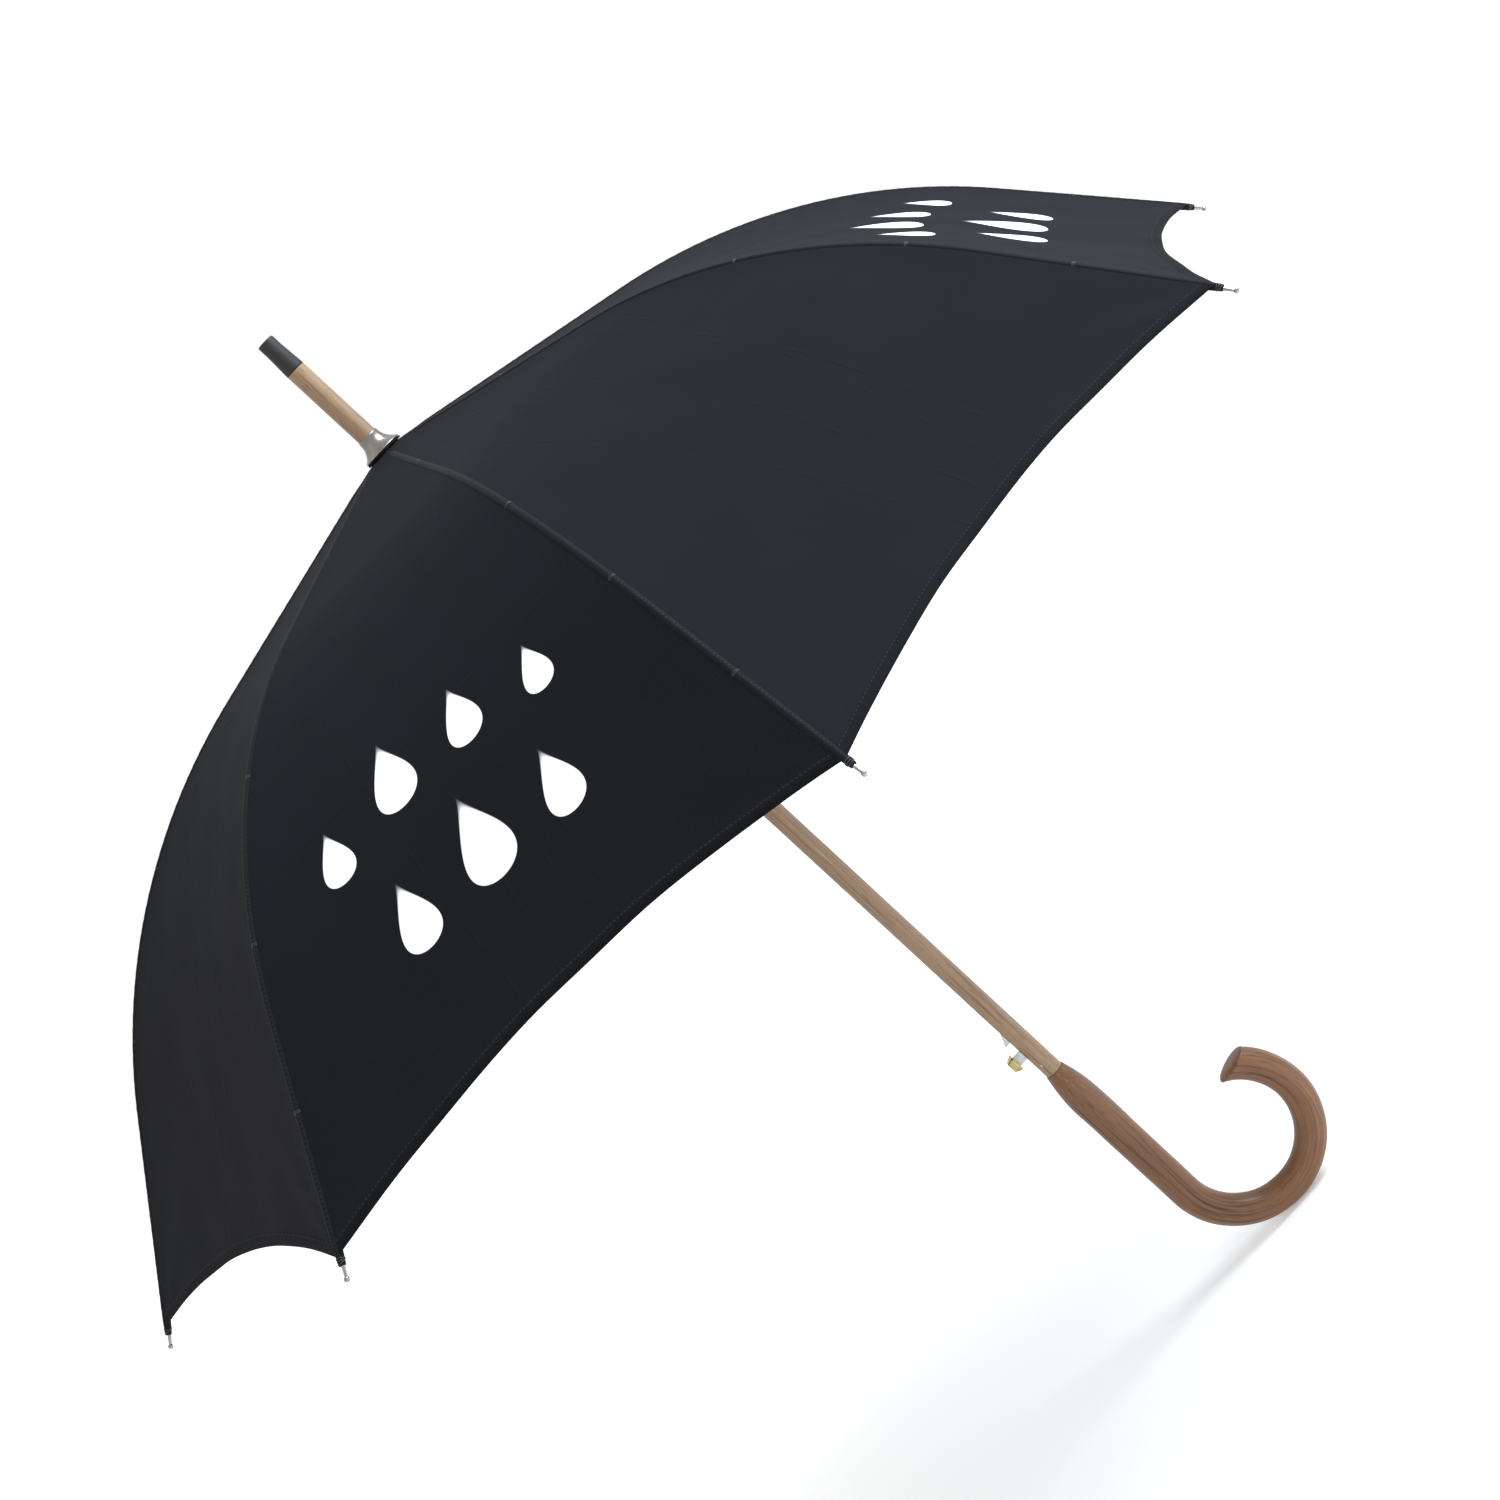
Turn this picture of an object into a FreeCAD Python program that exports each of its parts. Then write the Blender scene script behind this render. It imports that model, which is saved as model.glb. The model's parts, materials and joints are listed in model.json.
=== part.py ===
import FreeCAD, Part
import math
import os
import Sketcher
from FreeCAD import Placement, Rotation, Vector

# Auto-opening stick umbrella, open, in millimetres and degrees.
# +Z runs up the shaft to the ferrule, the crook opens towards +X and the release button is on the -X side.
# The origin is on the shaft's axis in the middle of the grip.

DIMENSIONS = [
    # shaft, ferrule and crown
    ("crown_height", 685, "top of the canopy above the middle of the grip"),
    ("shaft_radius", 7, "turned wooden shaft"),
    ("shaft_foot", 20, "bottom of the shaft, in the handle's socket"),
    ("ferrule_wood", 76.4, "wood above the crown"),
    ("ferrule_cap_length", 26.2, "black end cap"),
    ("ferrule_land", 8, "straight end of the cap"),
    ("ferrule_tip_radius", 6.2, "radius of that end"),
    ("spigot_radius", 4.5, "shaft's end inside the cap"),
    ("spigot_length", 12, "how far it goes in"),
    ("cup_height", 15.3, "top of the bell cup above the crown"),
    ("cup_radius", 14.2, "rim of the bell cup"),
    ("cup_neck_radius", 7.7, "its neck round the shaft"),
    ("cup_flare", 24, "radius of the flare in section"),
    ("cup_wall", 0.6, "sheet metal of the cup"),
    ("washer_gap", 0.3, "room for the cloth under the washer"),
    ("washer_thickness", 1.2, "cloth washer under the cup"),
    # handle
    ("grip_radius", 11.9, "handle where it is widest"),
    ("crook_section", 11.4, "radius of the crook's round section"),
    ("crook_radius", 51.5, "bend of the crook on its centreline"),
    ("crook_sweep", 228, "turn of the crook at its end's centre"),
    ("crook_slant", 35, "slant of the crook's end, whose inner side is the longer"),
    ("crook_drop", 49, "start of the bend below the origin"),
    ("crook_dome", 3, "bulge of the crook's end"),
    ("neck_bottom", 45, "where the grip's neck begins"),
    ("neck_top", 78, "where it meets the shaft"),
    ("neck_lip", 7.4, "radius of the neck's thin end"),
    ("neck_flare", 120.7, "radius of the neck in section"),
    # canopy and ribs
    ("rib_turn", 9.5, "direction of the first rib from +X"),
    ("cloth_start", 12, "radius where the cloth starts under the washer"),
    ("rib_slope", 12.1, "slope of the canopy near the crown"),
    ("rib_straight", 177, "length of that straight part"),
    ("rib_bend", 413, "radius of the bend"),
    ("rib_bend_angle", 37.4, "turn of the bend"),
    ("rib_outer", 136.5, "straight part from the bend to the hem"),
    ("cloth_thickness", 0.4, "closed solid that stands for the cloth"),
    ("panel_gap", 0.3, "gap between neighbouring panels"),
    ("hem_rise", 14.4, "how far the hem curves in between two ribs, in plan"),
    ("rib_depth", 2.4, "middle of the rib below the cloth's outer face"),
    ("rib_width", 2.8, "rib across"),
    ("rib_height", 3, "rib top to bottom"),
    ("rib_groove_width", 1.6, "channel in the rib's underside"),
    ("rib_groove_depth", 2, "depth of that channel"),
    ("rib_start", 8, "where the channel section starts, along the rib"),
    ("blade_thickness", 1.4, "flattened end of the rib"),
    ("blade_height", 2.6, "its height"),
    ("blade_overlap", 12, "how far the flattened end runs into the rib"),
    ("tip_back", 8, "how far the tip reaches back over the rib's end"),
    ("tip_radius", 1.7, "thick end of the rib tip"),
    ("tip_neck_radius", 0.9, "thin end of the rib tip"),
    ("tip_length", 12, "rib tip beyond the cloth, to the middle of its ball"),
    ("ball_radius", 1.7, "ball at the end of the rib tip"),
    # top notch
    ("notch_pivot_radius", 10, "rib hinges, from the axis"),
    ("notch_pivot_depth", 4.5, "rib hinges below the crown"),
    ("notch_radius", 13, "disc of the notch"),
    ("notch_top", 1, "top of the notch below the crown"),
    ("notch_bottom", 8.5, "bottom of the disc below the crown"),
    ("notch_hub_radius", 8.7, "hub under the disc"),
    ("notch_hub_bottom", 16, "bottom of the hub below the crown"),
    ("notch_slot", 1.8, "slots for the ribs"),
    ("slot_floor", 7.9, "radius of the bottom of those slots"),
    ("bore_play", 0.05, "play of the fixed hubs on the shaft"),
    ("slide_play", 0.1, "play of the sliding hubs on the shaft"),
    ("wire_radius", 0.5, "hinge wires in the hubs"),
    ("eye_play", 0.1, "play of a rib or link on its wire or rivet"),
    # folding linkage
    ("joint_arc", 215, "stretcher joint along the rib, from the cloth's start"),
    ("stretcher_length", 295, "pivot to pivot"),
    ("strut_joint", 190, "strut joint along the stretcher, from the runner"),
    ("strut_length", 140, "pivot to pivot"),
    ("link_pivot_radius", 12, "runner and collar pivots, from the axis"),
    ("channel_width", 4.2, "stretcher across"),
    ("channel_height", 3.6, "stretcher top to bottom"),
    ("channel_wall", 0.5, "its sheet"),
    ("channel_start", 11, "where the channel starts, from the runner's pivot"),
    ("channel_open", 9, "roof cut back from the rib joint"),
    ("cheek_end", 0.9, "cheeks beyond the rib joint"),
    ("link_blade", 2, "thickness of the flat link ends"),
    ("link_blade_height", 3, "height of the stretcher's flat end"),
    ("strut_height", 2.2, "strut top to bottom"),
    ("rivet_radius", 0.6, "rivets of the links"),
    ("rivet_head_radius", 1.3, "their heads"),
    ("rivet_head", 0.5, "thickness of a head"),
    # runner, collar and spring
    ("hub_radius", 9.5, "sleeves of the runner and the collar"),
    ("flange_radius", 15.5, "flanges that hold the links"),
    ("hub_slot", 2.6, "slots for the links"),
    ("hub_slot_floor", 9.8, "radius of the bottom of those slots"),
    ("flange_above", 3.5, "flange above the pivots"),
    ("flange_below", 5, "flange below the pivots"),
    ("runner_sleeve", 82, "runner's sleeve below its pivots"),
    ("runner_ring", 1.2, "grip bead at the bottom of the runner"),
    ("collar_sleeve", 5, "collar's sleeve above its flange"),
    ("window_width", 3.4, "window in the runner for the catch"),
    ("window_bottom", 5, "bottom of that window above the sleeve's end"),
    ("window_height", 11.6, "height of the window"),
    ("spring_radius", 8.9, "opening spring, to the middle of the wire"),
    ("spring_wire", 0.6, "radius of its wire"),
    ("spring_turns", 20, "number of turns"),
    ("spring_seat", 0.4, "room at each end of the spring"),
    ("pin_radius", 1, "cross pins through the shaft"),
    ("stop_pin_length", 17, "pin that stops the collar"),
    ("stop_play", 0.3, "room between that pin and the collar"),
    # release catch
    ("catch_pivot_x", -3, "catch pivot from the axis"),
    ("catch_pivot_z", 88, "catch pivot above the origin"),
    ("catch_thickness", 2.6, "steel lever"),
    ("catch_slot", 3, "slot in the shaft"),
    ("catch_slot_bottom", 83, "bottom of the slot"),
    ("catch_slot_top", 130, "top of the slot"),
    ("catch_slot_back", 4.4, "back of the slot on the +X side"),
    ("catch_top", 126, "top of the lever"),
    ("catch_front", -6.6, "front of the lever"),
    ("catch_back", -1.6, "back of the lever"),
    ("nose_bottom", 113.5, "flat face of the nose"),
    ("nose_top", 123.5, "start of its ramp"),
    ("nose_reach", -11.4, "tip of the nose"),
    ("stem_bottom", 97, "stem of the button, low side"),
    ("stem_top", 104.6, "and high side"),
    ("stem_end", -15, "end of the stem"),
    ("button_inner", -13.2, "inner face of the button's cap"),
    ("button_outer", -18.8, "its outer face"),
    ("button_size", 10.8, "cap along the shaft, inside"),
    ("button_face", 7.4, "and outside"),
    ("catch_spring_z", 109, "catch spring above the origin"),
    ("catch_spring_radius", 0.95, "catch spring, to the middle of the wire"),
    ("catch_spring_wire", 0.2, "radius of its wire"),
    ("catch_spring_turns", 6, "number of turns"),
    # closing strap
    ("strap_arc", 505, "strap along the rib, from the cloth's start"),
    ("strap_width", 15, "strap across"),
    ("strap_length", 70, "strap along the canopy"),
    ("strap_thickness", 1, "doubled cloth"),
    ("strap_gap", 0.4, "strap above the cloth"),
]

RIBS = 8
STRAP_RIB = 5
PANEL_ANGLE = 180 / RIBS


class Size:
    """A length or an angle: its value, and the expression that binds it to the spreadsheet."""

    def __init__(self, value, text):
        self.value = float(value)
        self.text = text

    def __add__(self, other):
        other = as_size(other)
        return Size(self.value + other.value, f"({self.text} + {other.text})")

    def __sub__(self, other):
        other = as_size(other)
        return Size(self.value - other.value, f"({self.text} - {other.text})")

    def __mul__(self, other):
        other = as_size(other)
        return Size(self.value * other.value, f"{self.text} * {other.text}")

    def __truediv__(self, other):
        other = as_size(other)
        return Size(self.value / other.value, f"{self.text} / ({other.text})")

    def __neg__(self):
        return Size(-self.value, f"(0 - {self.text})")


def as_size(number):
    if isinstance(number, Size):
        return number
    return Size(number, f"{number}" if number >= 0 else f"({number})")


def sine(angle):
    angle = as_size(angle)
    return Size(math.sin(math.radians(angle.value)), f"sin({angle.text})")


def cosine(angle):
    angle = as_size(angle)
    return Size(math.cos(math.radians(angle.value)), f"cos({angle.text})")


def arcsine(ratio):
    return Size(math.degrees(math.asin(ratio.value)), f"asin({ratio.text}) / 1 deg")


def root(number):
    return Size(math.sqrt(number.value), f"sqrt({number.text})")


doc = FreeCAD.newDocument("StickUmbrella")
sheet = doc.addObject("Spreadsheet::Sheet", "Sizes")
S = {}
for row, (alias, number, note) in enumerate(DIMENSIONS, start=1):
    sheet.set(f"A{row}", alias)
    sheet.set(f"B{row}", str(number))
    sheet.set(f"C{row}", note)
    sheet.setAlias(f"B{row}", alias)
    S[alias] = Size(number, f"Sizes.{alias}")
doc.recompute()

subparts = []


# ---------------------------------------------------------------- helpers


def bind(thing, **sizes):
    """Sets properties of an object and binds each to its expression."""
    for name, amount in sizes.items():
        amount = as_size(amount)
        setattr(thing, name, amount.value)
        thing.setExpression(name, amount.text)
    return thing


def place(thing, x=0, y=0, z=0, turn=None):
    """Puts an object at a bound position, turned by a fixed rotation."""
    x, y, z = as_size(x), as_size(y), as_size(z)
    thing.Placement = Placement(Vector(x.value, y.value, z.value), turn or Rotation())
    for axis, amount in zip("xyz", (x, y, z)):
        thing.setExpression(f".Placement.Base.{axis}", amount.text)
    return thing


def turn_about(thing, axis, angle):
    """Turns an object about an axis through its own origin by a bound angle."""
    angle = as_size(angle)
    thing.Placement = Placement(thing.Placement.Base, Rotation(axis, angle.value))
    thing.setExpression(".Placement.Rotation.Angle", angle.text)
    return thing


def add(kind, name, **sizes):
    return bind(doc.addObject(kind, name), **sizes)


def cylinder(name, radius, height, x=0, y=0, z=0, turn=None):
    return place(add("Part::Cylinder", name, Radius=radius, Height=height), x, y, z, turn)


def box(name, length, width, height, x=0, y=0, z=0):
    return place(add("Part::Box", name, Length=length, Width=width, Height=height), x, y, z)


def fuse(name, shapes):
    joined = doc.addObject("Part::MultiFuse", name)
    joined.Shapes = shapes
    return joined


def cut(name, base, tools):
    tool = tools[0] if len(tools) == 1 else fuse(name + "Tools", tools)
    done = doc.addObject("Part::Cut", name)
    done.Base = base
    done.Tool = tool
    return done


def subpart(thing, label):
    """Names a finished sub-part. The label is also the name of its file."""
    thing.Label = label
    subparts.append(thing)
    return thing


def copy_round(master, label, number, offset=0):
    """A copy of a sub-part that was modelled at the angle 0, turned to rib number."""
    made = doc.addObject("Part::Compound", label)
    made.Links = [master]
    angle = S["rib_turn"] + 360 / RIBS * (number - 1) + offset
    turn_about(made, Vector(0, 0, 1), angle)
    return subpart(made, f"{label}_{number}")


def origin_plane(body, role):
    return next(f for f in body.Origin.OriginFeatures if f.Role == role)


def arc_geometry(start, end, radius):
    """An arc between two points.

    Seen from start, a positive radius bulges to the left, a negative one to the right.
    """
    chord = end - start
    left = Vector(-chord.y, chord.x, 0).normalize()
    size = abs(radius)
    side = 1 if radius > 0 else -1
    centre = (start + end) * 0.5 - left * (side * math.sqrt(size * size - chord.Length**2 / 4))
    begin, finish = (end, start) if radius > 0 else (start, end)
    first_angle = math.atan2(begin.y - centre.y, begin.x - centre.x)
    last_angle = math.atan2(finish.y - centre.y, finish.x - centre.x)
    if last_angle < first_angle:
        last_angle += 2 * math.pi
    return Part.ArcOfCircle(Part.Circle(centre, Vector(0, 0, 1), size), first_angle, last_angle)


def draw(sketch, outline):
    """Draws a closed outline with bound corners.

    A corner is (x, y), or (x, y, radius) where an arc leads on to the next.
    """
    corners = [tuple(as_size(c) for c in corner) for corner in outline]
    points = [Vector(c[0].value, c[1].value, 0) for c in corners]
    count = len(points)
    first = []
    for i in range(count):
        start, end = points[i], points[(i + 1) % count]
        if len(corners[i]) == 3:
            sketch.addGeometry(arc_geometry(start, end, corners[i][2].value), False)
            first.append(2 if corners[i][2].value > 0 else 1)
        else:
            sketch.addGeometry(Part.LineSegment(start, end), False)
            first.append(1)
    for i in range(count):
        following = (i + 1) % count
        sketch.addConstraint(
            Sketcher.Constraint("Coincident", i, 3 - first[i], following, first[following])
        )
    for i, corner in enumerate(corners):
        for kind, amount in (("DistanceX", corner[0]), ("DistanceY", corner[1])):
            made = sketch.addConstraint(Sketcher.Constraint(kind, -1, 1, i, first[i], amount.value))
            sketch.setExpression(f"Constraints[{made}]", amount.text)
        if len(corner) == 3:
            radius = corner[2] if corner[2].value > 0 else -corner[2]
            made = sketch.addConstraint(Sketcher.Constraint("Radius", i, radius.value))
            sketch.setExpression(f"Constraints[{made}]", radius.text)
    return sketch


def body_sketch(body, name, role, outline):
    sketch = body.newObject("Sketcher::SketchObject", name)
    sketch.AttachmentSupport = [(origin_plane(body, role), "")]
    sketch.MapMode = "FlatFace"
    return draw(sketch, outline)


def revolved(name, outline):
    """A body turned from a half section: x is the radius and y the height."""
    body = doc.addObject("PartDesign::Body", name)
    sketch = body_sketch(body, name + "Section", "XZ_Plane", outline)
    turned = body.newObject("PartDesign::Revolution", name + "Turned")
    turned.Profile = sketch
    turned.ReferenceAxis = (sketch, ["V_Axis"])
    turned.Angle = 360
    return body


def pocket(body, name, role, outline, depth):
    """Cuts an outline through a body, by the same depth on both sides of the sketch plane."""
    doc.recompute()
    feature = body.newObject("PartDesign::Pocket", name)
    feature.Profile = body_sketch(body, name + "Outline", role, outline)
    feature.SideType = "Symmetric"
    bind(feature, Length=depth)
    return feature


def padded(name, outline, width):
    """A body padded to both sides of the plane through the shaft: x is the radius and y the height."""
    body = doc.addObject("PartDesign::Body", name)
    sketch = body_sketch(body, name + "Outline", "XZ_Plane", outline)
    pad = body.newObject("PartDesign::Pad", name + "Pad")
    pad.Profile = sketch
    pad.SideType = "Symmetric"
    bind(pad, Length=width)
    return body


def slots_round(body, name, inner, outer, width, depth):
    """Cuts one radial slot and repeats it for every rib."""
    half = width / 2
    slot = pocket(
        body, name, "XY_Plane", [(inner, -half), (outer, -half), (outer, half), (inner, half)], depth
    )
    doc.recompute()
    pattern = body.newObject("PartDesign::PolarPattern", name + "Round")
    pattern.Originals = [slot]
    pattern.Axis = (origin_plane(body, "Z_Axis"), [""])
    pattern.Angle = 360
    pattern.Occurrences = RIBS
    body.Tip = pattern


def ring(name, ring_radius, wire, z):
    return place(add("Part::Torus", name, Radius1=ring_radius, Radius2=wire), z=z)


# ---------------------------------------------------------------- rib and linkage geometry

slope = S["rib_slope"]
end_slope = S["rib_slope"] + S["rib_bend_angle"]
crown = S["crown_height"]


def bent_point(turn, depth):
    """A point on the rib's bend, given its turn so far, at a depth below the cloth's outer face."""
    angle = slope + turn
    bend = S["rib_bend"]
    x = S["cloth_start"] + S["rib_straight"] * cosine(slope) + bend * (sine(angle) - sine(slope))
    z = crown - S["rib_straight"] * sine(slope) - bend * (cosine(slope) - cosine(angle))
    return x - depth * sine(angle), z - depth * cosine(angle)


def inner_point(along, depth):
    """A point on the straight part near the crown."""
    x = S["cloth_start"] + along * cosine(slope) - depth * sine(slope)
    z = crown - along * sine(slope) - depth * cosine(slope)
    return x, z


def outer_point(beyond, depth):
    """A point on the straight outer part, past the end of the bend."""
    x, z = bent_point(S["rib_bend_angle"], depth)
    return x + beyond * cosine(end_slope), z - beyond * sine(end_slope)


def rib_band(top, bottom, start, finish):
    """Outline of a strip that follows the rib between two depths below the cloth's outer face."""
    bend = S["rib_bend"]
    return [
        inner_point(start, top),
        (*bent_point(as_size(0), top), bend - top),
        bent_point(S["rib_bend_angle"], top),
        outer_point(finish, top),
        outer_point(finish, bottom),
        (*bent_point(S["rib_bend_angle"], bottom), -(bend - bottom)),
        bent_point(as_size(0), bottom),
        inner_point(start, bottom),
    ]


joint_turn = (S["joint_arc"] - S["rib_straight"]) / S["rib_bend"] * (180 / math.pi)
joint_x, joint_z = bent_point(joint_turn, S["rib_depth"])

link_radius = S["link_pivot_radius"]
stretcher_run = joint_x - link_radius
stretcher_rise = root(S["stretcher_length"] * S["stretcher_length"] - stretcher_run * stretcher_run)
stretcher_lean = arcsine(stretcher_run / S["stretcher_length"])
runner_z = joint_z - stretcher_rise

strut_run = stretcher_run * S["strut_joint"] / S["stretcher_length"]
strut_joint_z = runner_z + stretcher_rise * S["strut_joint"] / S["stretcher_length"]
strut_rise = root(S["strut_length"] * S["strut_length"] - strut_run * strut_run)
strut_lean = arcsine(strut_run / S["strut_length"])
collar_z = strut_joint_z - strut_rise

# ---------------------------------------------------------------- shaft and ferrule


def make_shaft():
    wood_top = crown + S["ferrule_wood"]
    stick = revolved(
        "Stick",
        [
            (0, S["shaft_foot"]),
            (S["shaft_radius"], S["shaft_foot"]),
            (S["shaft_radius"], wood_top),
            (S["spigot_radius"], wood_top),
            (S["spigot_radius"], wood_top + S["spigot_length"]),
            (0, wood_top + S["spigot_length"]),
        ],
    )
    slot = box(
        "CatchSlot",
        S["shaft_radius"] + S["catch_slot_back"] + 1,
        S["catch_slot"],
        S["catch_slot_top"] - S["catch_slot_bottom"],
        -S["shaft_radius"] - 1,
        -S["catch_slot"] / 2,
        S["catch_slot_bottom"],
    )
    holes = [pin_body(name + "Hole", *spec) for name, spec in PINS.items()]
    subpart(cut("Shaft", stick, [slot] + holes), "shaft")


def pin_body(name, radius, length, x, z, turn):
    """A cross pin through the shaft. It lies along Y, turned about the shaft's axis."""
    pin = cylinder(name, radius, length, x, 0, z, Rotation(Vector(1, 0, 0), 90))
    half = length / 2
    angle = math.radians(turn)
    place(
        pin,
        as_size(x) + half * math.sin(-angle),
        half * math.cos(angle),
        z,
        Rotation(Vector(0, 0, 1), turn) * Rotation(Vector(1, 0, 0), 90),
    )
    return pin


BETWEEN_RIBS = S["rib_turn"].value + PANEL_ANGLE
collar_top = collar_z + S["flange_above"] + S["collar_sleeve"]
stop_z = collar_top + S["stop_play"] + S["pin_radius"]
notch_pin_z = crown - (S["notch_bottom"] + S["notch_hub_bottom"]) / 2
PINS = {
    "NotchPin": (S["pin_radius"], S["notch_hub_radius"] * 2, 0, notch_pin_z, BETWEEN_RIBS),
    "StopPin": (S["pin_radius"], S["stop_pin_length"], 0, stop_z, BETWEEN_RIBS),
    "CatchPin": (S["pin_radius"], S["shaft_radius"] * 1.8, S["catch_pivot_x"], S["catch_pivot_z"], 0),
}


def make_pins():
    labels = {"NotchPin": "notch_pin", "StopPin": "collar_stop_pin", "CatchPin": "catch_pivot_pin"}
    for name, spec in PINS.items():
        subpart(pin_body(name, *spec), labels[name])


def make_ferrule_cap():
    base = crown + S["ferrule_wood"]
    top = base + S["ferrule_cap_length"]
    land = top - S["ferrule_land"]
    cap = revolved(
        "FerruleCap",
        [
            (S["spigot_radius"], base),
            (S["shaft_radius"], base),
            (S["ferrule_tip_radius"], land),
            (S["ferrule_tip_radius"], top),
            (0, top),
            (0, base + S["spigot_length"]),
            (S["spigot_radius"], base + S["spigot_length"]),
        ],
    )
    subpart(cap, "ferrule_cap")


def make_crown():
    """The bell cup that presses the cloth down, and the cloth washer under it."""
    bore = S["shaft_radius"] + S["bore_play"]
    rim = crown + S["washer_gap"] + S["washer_thickness"]
    top = crown + S["cup_height"]
    neck, radius, flare, wall = S["cup_neck_radius"], S["cup_radius"], S["cup_flare"], S["cup_wall"]
    cup = revolved(
        "BellCup",
        [
            (bore, top),
            (bore, top - wall * 3),
            (neck - wall * 0.5, top - wall * 3, -(flare)),
            (radius - wall * 2, rim),
            (radius, rim),
            (radius, rim + wall, flare),
            (neck, top),
        ],
    )
    subpart(cup, "bell_cup")
    washer = revolved(
        "CrownWasher",
        [
            (bore, crown + S["washer_gap"]),
            (radius, crown + S["washer_gap"]),
            (radius, rim),
            (bore, rim),
        ],
    )
    subpart(washer, "crown_washer")


# ---------------------------------------------------------------- handle


def make_handle():
    """Grip with a flared neck, the crook as part of a ring, and a domed end."""
    grip = revolved(
        "Grip",
        [
            (0, -S["crook_drop"]),
            (S["crook_section"], -S["crook_drop"]),
            (S["grip_radius"], S["neck_bottom"], -S["neck_flare"]),
            (S["neck_lip"], S["neck_top"]),
            (0, S["neck_top"]),
        ],
    )
    bend = add(
        "Part::Torus",
        "CrookBend",
        Radius1=S["crook_radius"],
        Radius2=S["crook_section"],
        Angle3=S["crook_sweep"] + 16,
    )
    into_plane = Rotation(Vector(-1, 0, 0), Vector(0, 0, -1), Vector(0, -1, 0), "ZXY")
    place(bend, S["crook_radius"], 0, -S["crook_drop"], into_plane)
    past_half = S["crook_sweep"] - 180
    end_x = S["crook_radius"] + S["crook_radius"] * cosine(past_half)
    end_z = S["crook_radius"] * sine(past_half) - S["crook_drop"]
    facing = Rotation(Vector(0, 1, 0), S["crook_slant"].value - past_half.value)
    beyond = cylinder("BeyondCrook", S["crook_section"] * 2, 40, end_x, 0, end_z, facing)
    dome = add(
        "Part::Ellipsoid",
        "CrookEnd",
        Radius1=S["crook_dome"],
        Radius2=S["crook_section"] / cosine(S["crook_slant"]) - 0.4,
        Radius3=S["crook_section"] - 0.2,
    )
    place(dome, end_x, 0, end_z, facing)
    handle = fuse("Handle", [grip, cut("CrookTrimmed", bend, [beyond]), dome])
    socket = cylinder(
        "Socket",
        S["shaft_radius"],
        S["neck_top"] - S["shaft_foot"],
        z=S["shaft_foot"],
    )
    subpart(cut("CrookHandle", handle, [socket]), "crook_handle")


# ---------------------------------------------------------------- release catch


def make_catch():
    half_stem = (S["stem_top"] + S["stem_bottom"]) / 2
    lever = padded(
        "CatchLever",
        [
            (S["catch_front"], S["catch_slot_bottom"] + 1),
            (S["catch_back"] + 1, S["catch_slot_bottom"] + 1),
            (S["catch_back"] + 1, S["catch_pivot_z"] + 3),
            (S["catch_back"], S["catch_pivot_z"] + 5),
            (S["catch_back"], S["catch_top"]),
            (S["catch_front"] + 1, S["catch_top"]),
            (S["catch_front"], S["nose_top"]),
            (S["nose_reach"], S["nose_bottom"]),
            (S["catch_front"], S["nose_bottom"]),
            (S["catch_front"], S["stem_top"]),
            (S["stem_end"], S["stem_top"]),
            (S["stem_end"], S["stem_bottom"]),
            (S["catch_front"], S["stem_bottom"]),
        ],
        S["catch_thickness"],
    )
    hole = cylinder(
        "CatchEye",
        S["pin_radius"] + S["bore_play"],
        S["catch_thickness"] * 2,
        S["catch_pivot_x"],
        S["catch_thickness"],
        S["catch_pivot_z"],
        Rotation(Vector(1, 0, 0), 90),
    )
    subpart(cut("CatchLeverDone", lever, [hole]), "catch_lever")
    cap = faceted_cap("ButtonCap", S["button_inner"], S["button_outer"], half_stem)
    stem = box(
        "ButtonSocket",
        S["button_inner"] - S["stem_end"],
        S["catch_thickness"],
        S["stem_top"] - S["stem_bottom"],
        S["stem_end"],
        -S["catch_thickness"] / 2,
        S["stem_bottom"],
    )
    subpart(cut("ReleaseButton", cap, [stem]), "release_button")


def faceted_cap(name, inner, outer, z):
    """A square button that narrows outwards."""
    half, face = S["button_size"] / 2, S["button_face"] / 2
    cap = doc.addObject("Part::Wedge", name)
    bind(cap, Xmin=-half, Xmax=half, Zmin=-half, Zmax=half, X2min=-face, X2max=face, Z2min=-face, Z2max=face)
    bind(cap, Ymin=0, Ymax=inner - outer)
    return place(cap, inner, 0, z, Rotation(Vector(0, 0, 1), 90))


def coil(name, radius, wire, height, turns, x=0, z=0, turn=None):
    """A coil spring: a round wire swept along a helix."""
    helix = doc.addObject("Part::Helix", name + "Helix")
    bind(helix, Radius=radius, Height=height, Pitch=height / turns)
    section = doc.addObject("Part::Circle", name + "Wire")
    bind(section, Radius=wire)
    place(section, radius, 0, 0, Rotation(Vector(1, 0, 0), 90))
    doc.recompute()
    swept = doc.addObject("Part::Sweep", name)
    swept.Sections = [section]
    swept.Spine = (helix, ["Edge1"])
    swept.Solid = True
    swept.Frenet = True
    return place(swept, x, 0, z, turn)


def make_catch_spring():
    room = S["catch_slot_back"] - S["catch_back"]
    wire = S["catch_spring_wire"]
    height = room - wire * 2 - S["panel_gap"] * 2
    spring = coil(
        "CatchSpring",
        S["catch_spring_radius"],
        wire,
        height,
        S["catch_spring_turns"],
        S["catch_back"] + S["panel_gap"] + wire,
        S["catch_spring_z"],
        Rotation(Vector(0, 1, 0), 90),
    )
    subpart(spring, "catch_spring")


# ---------------------------------------------------------------- notch, runner, collar and spring


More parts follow.
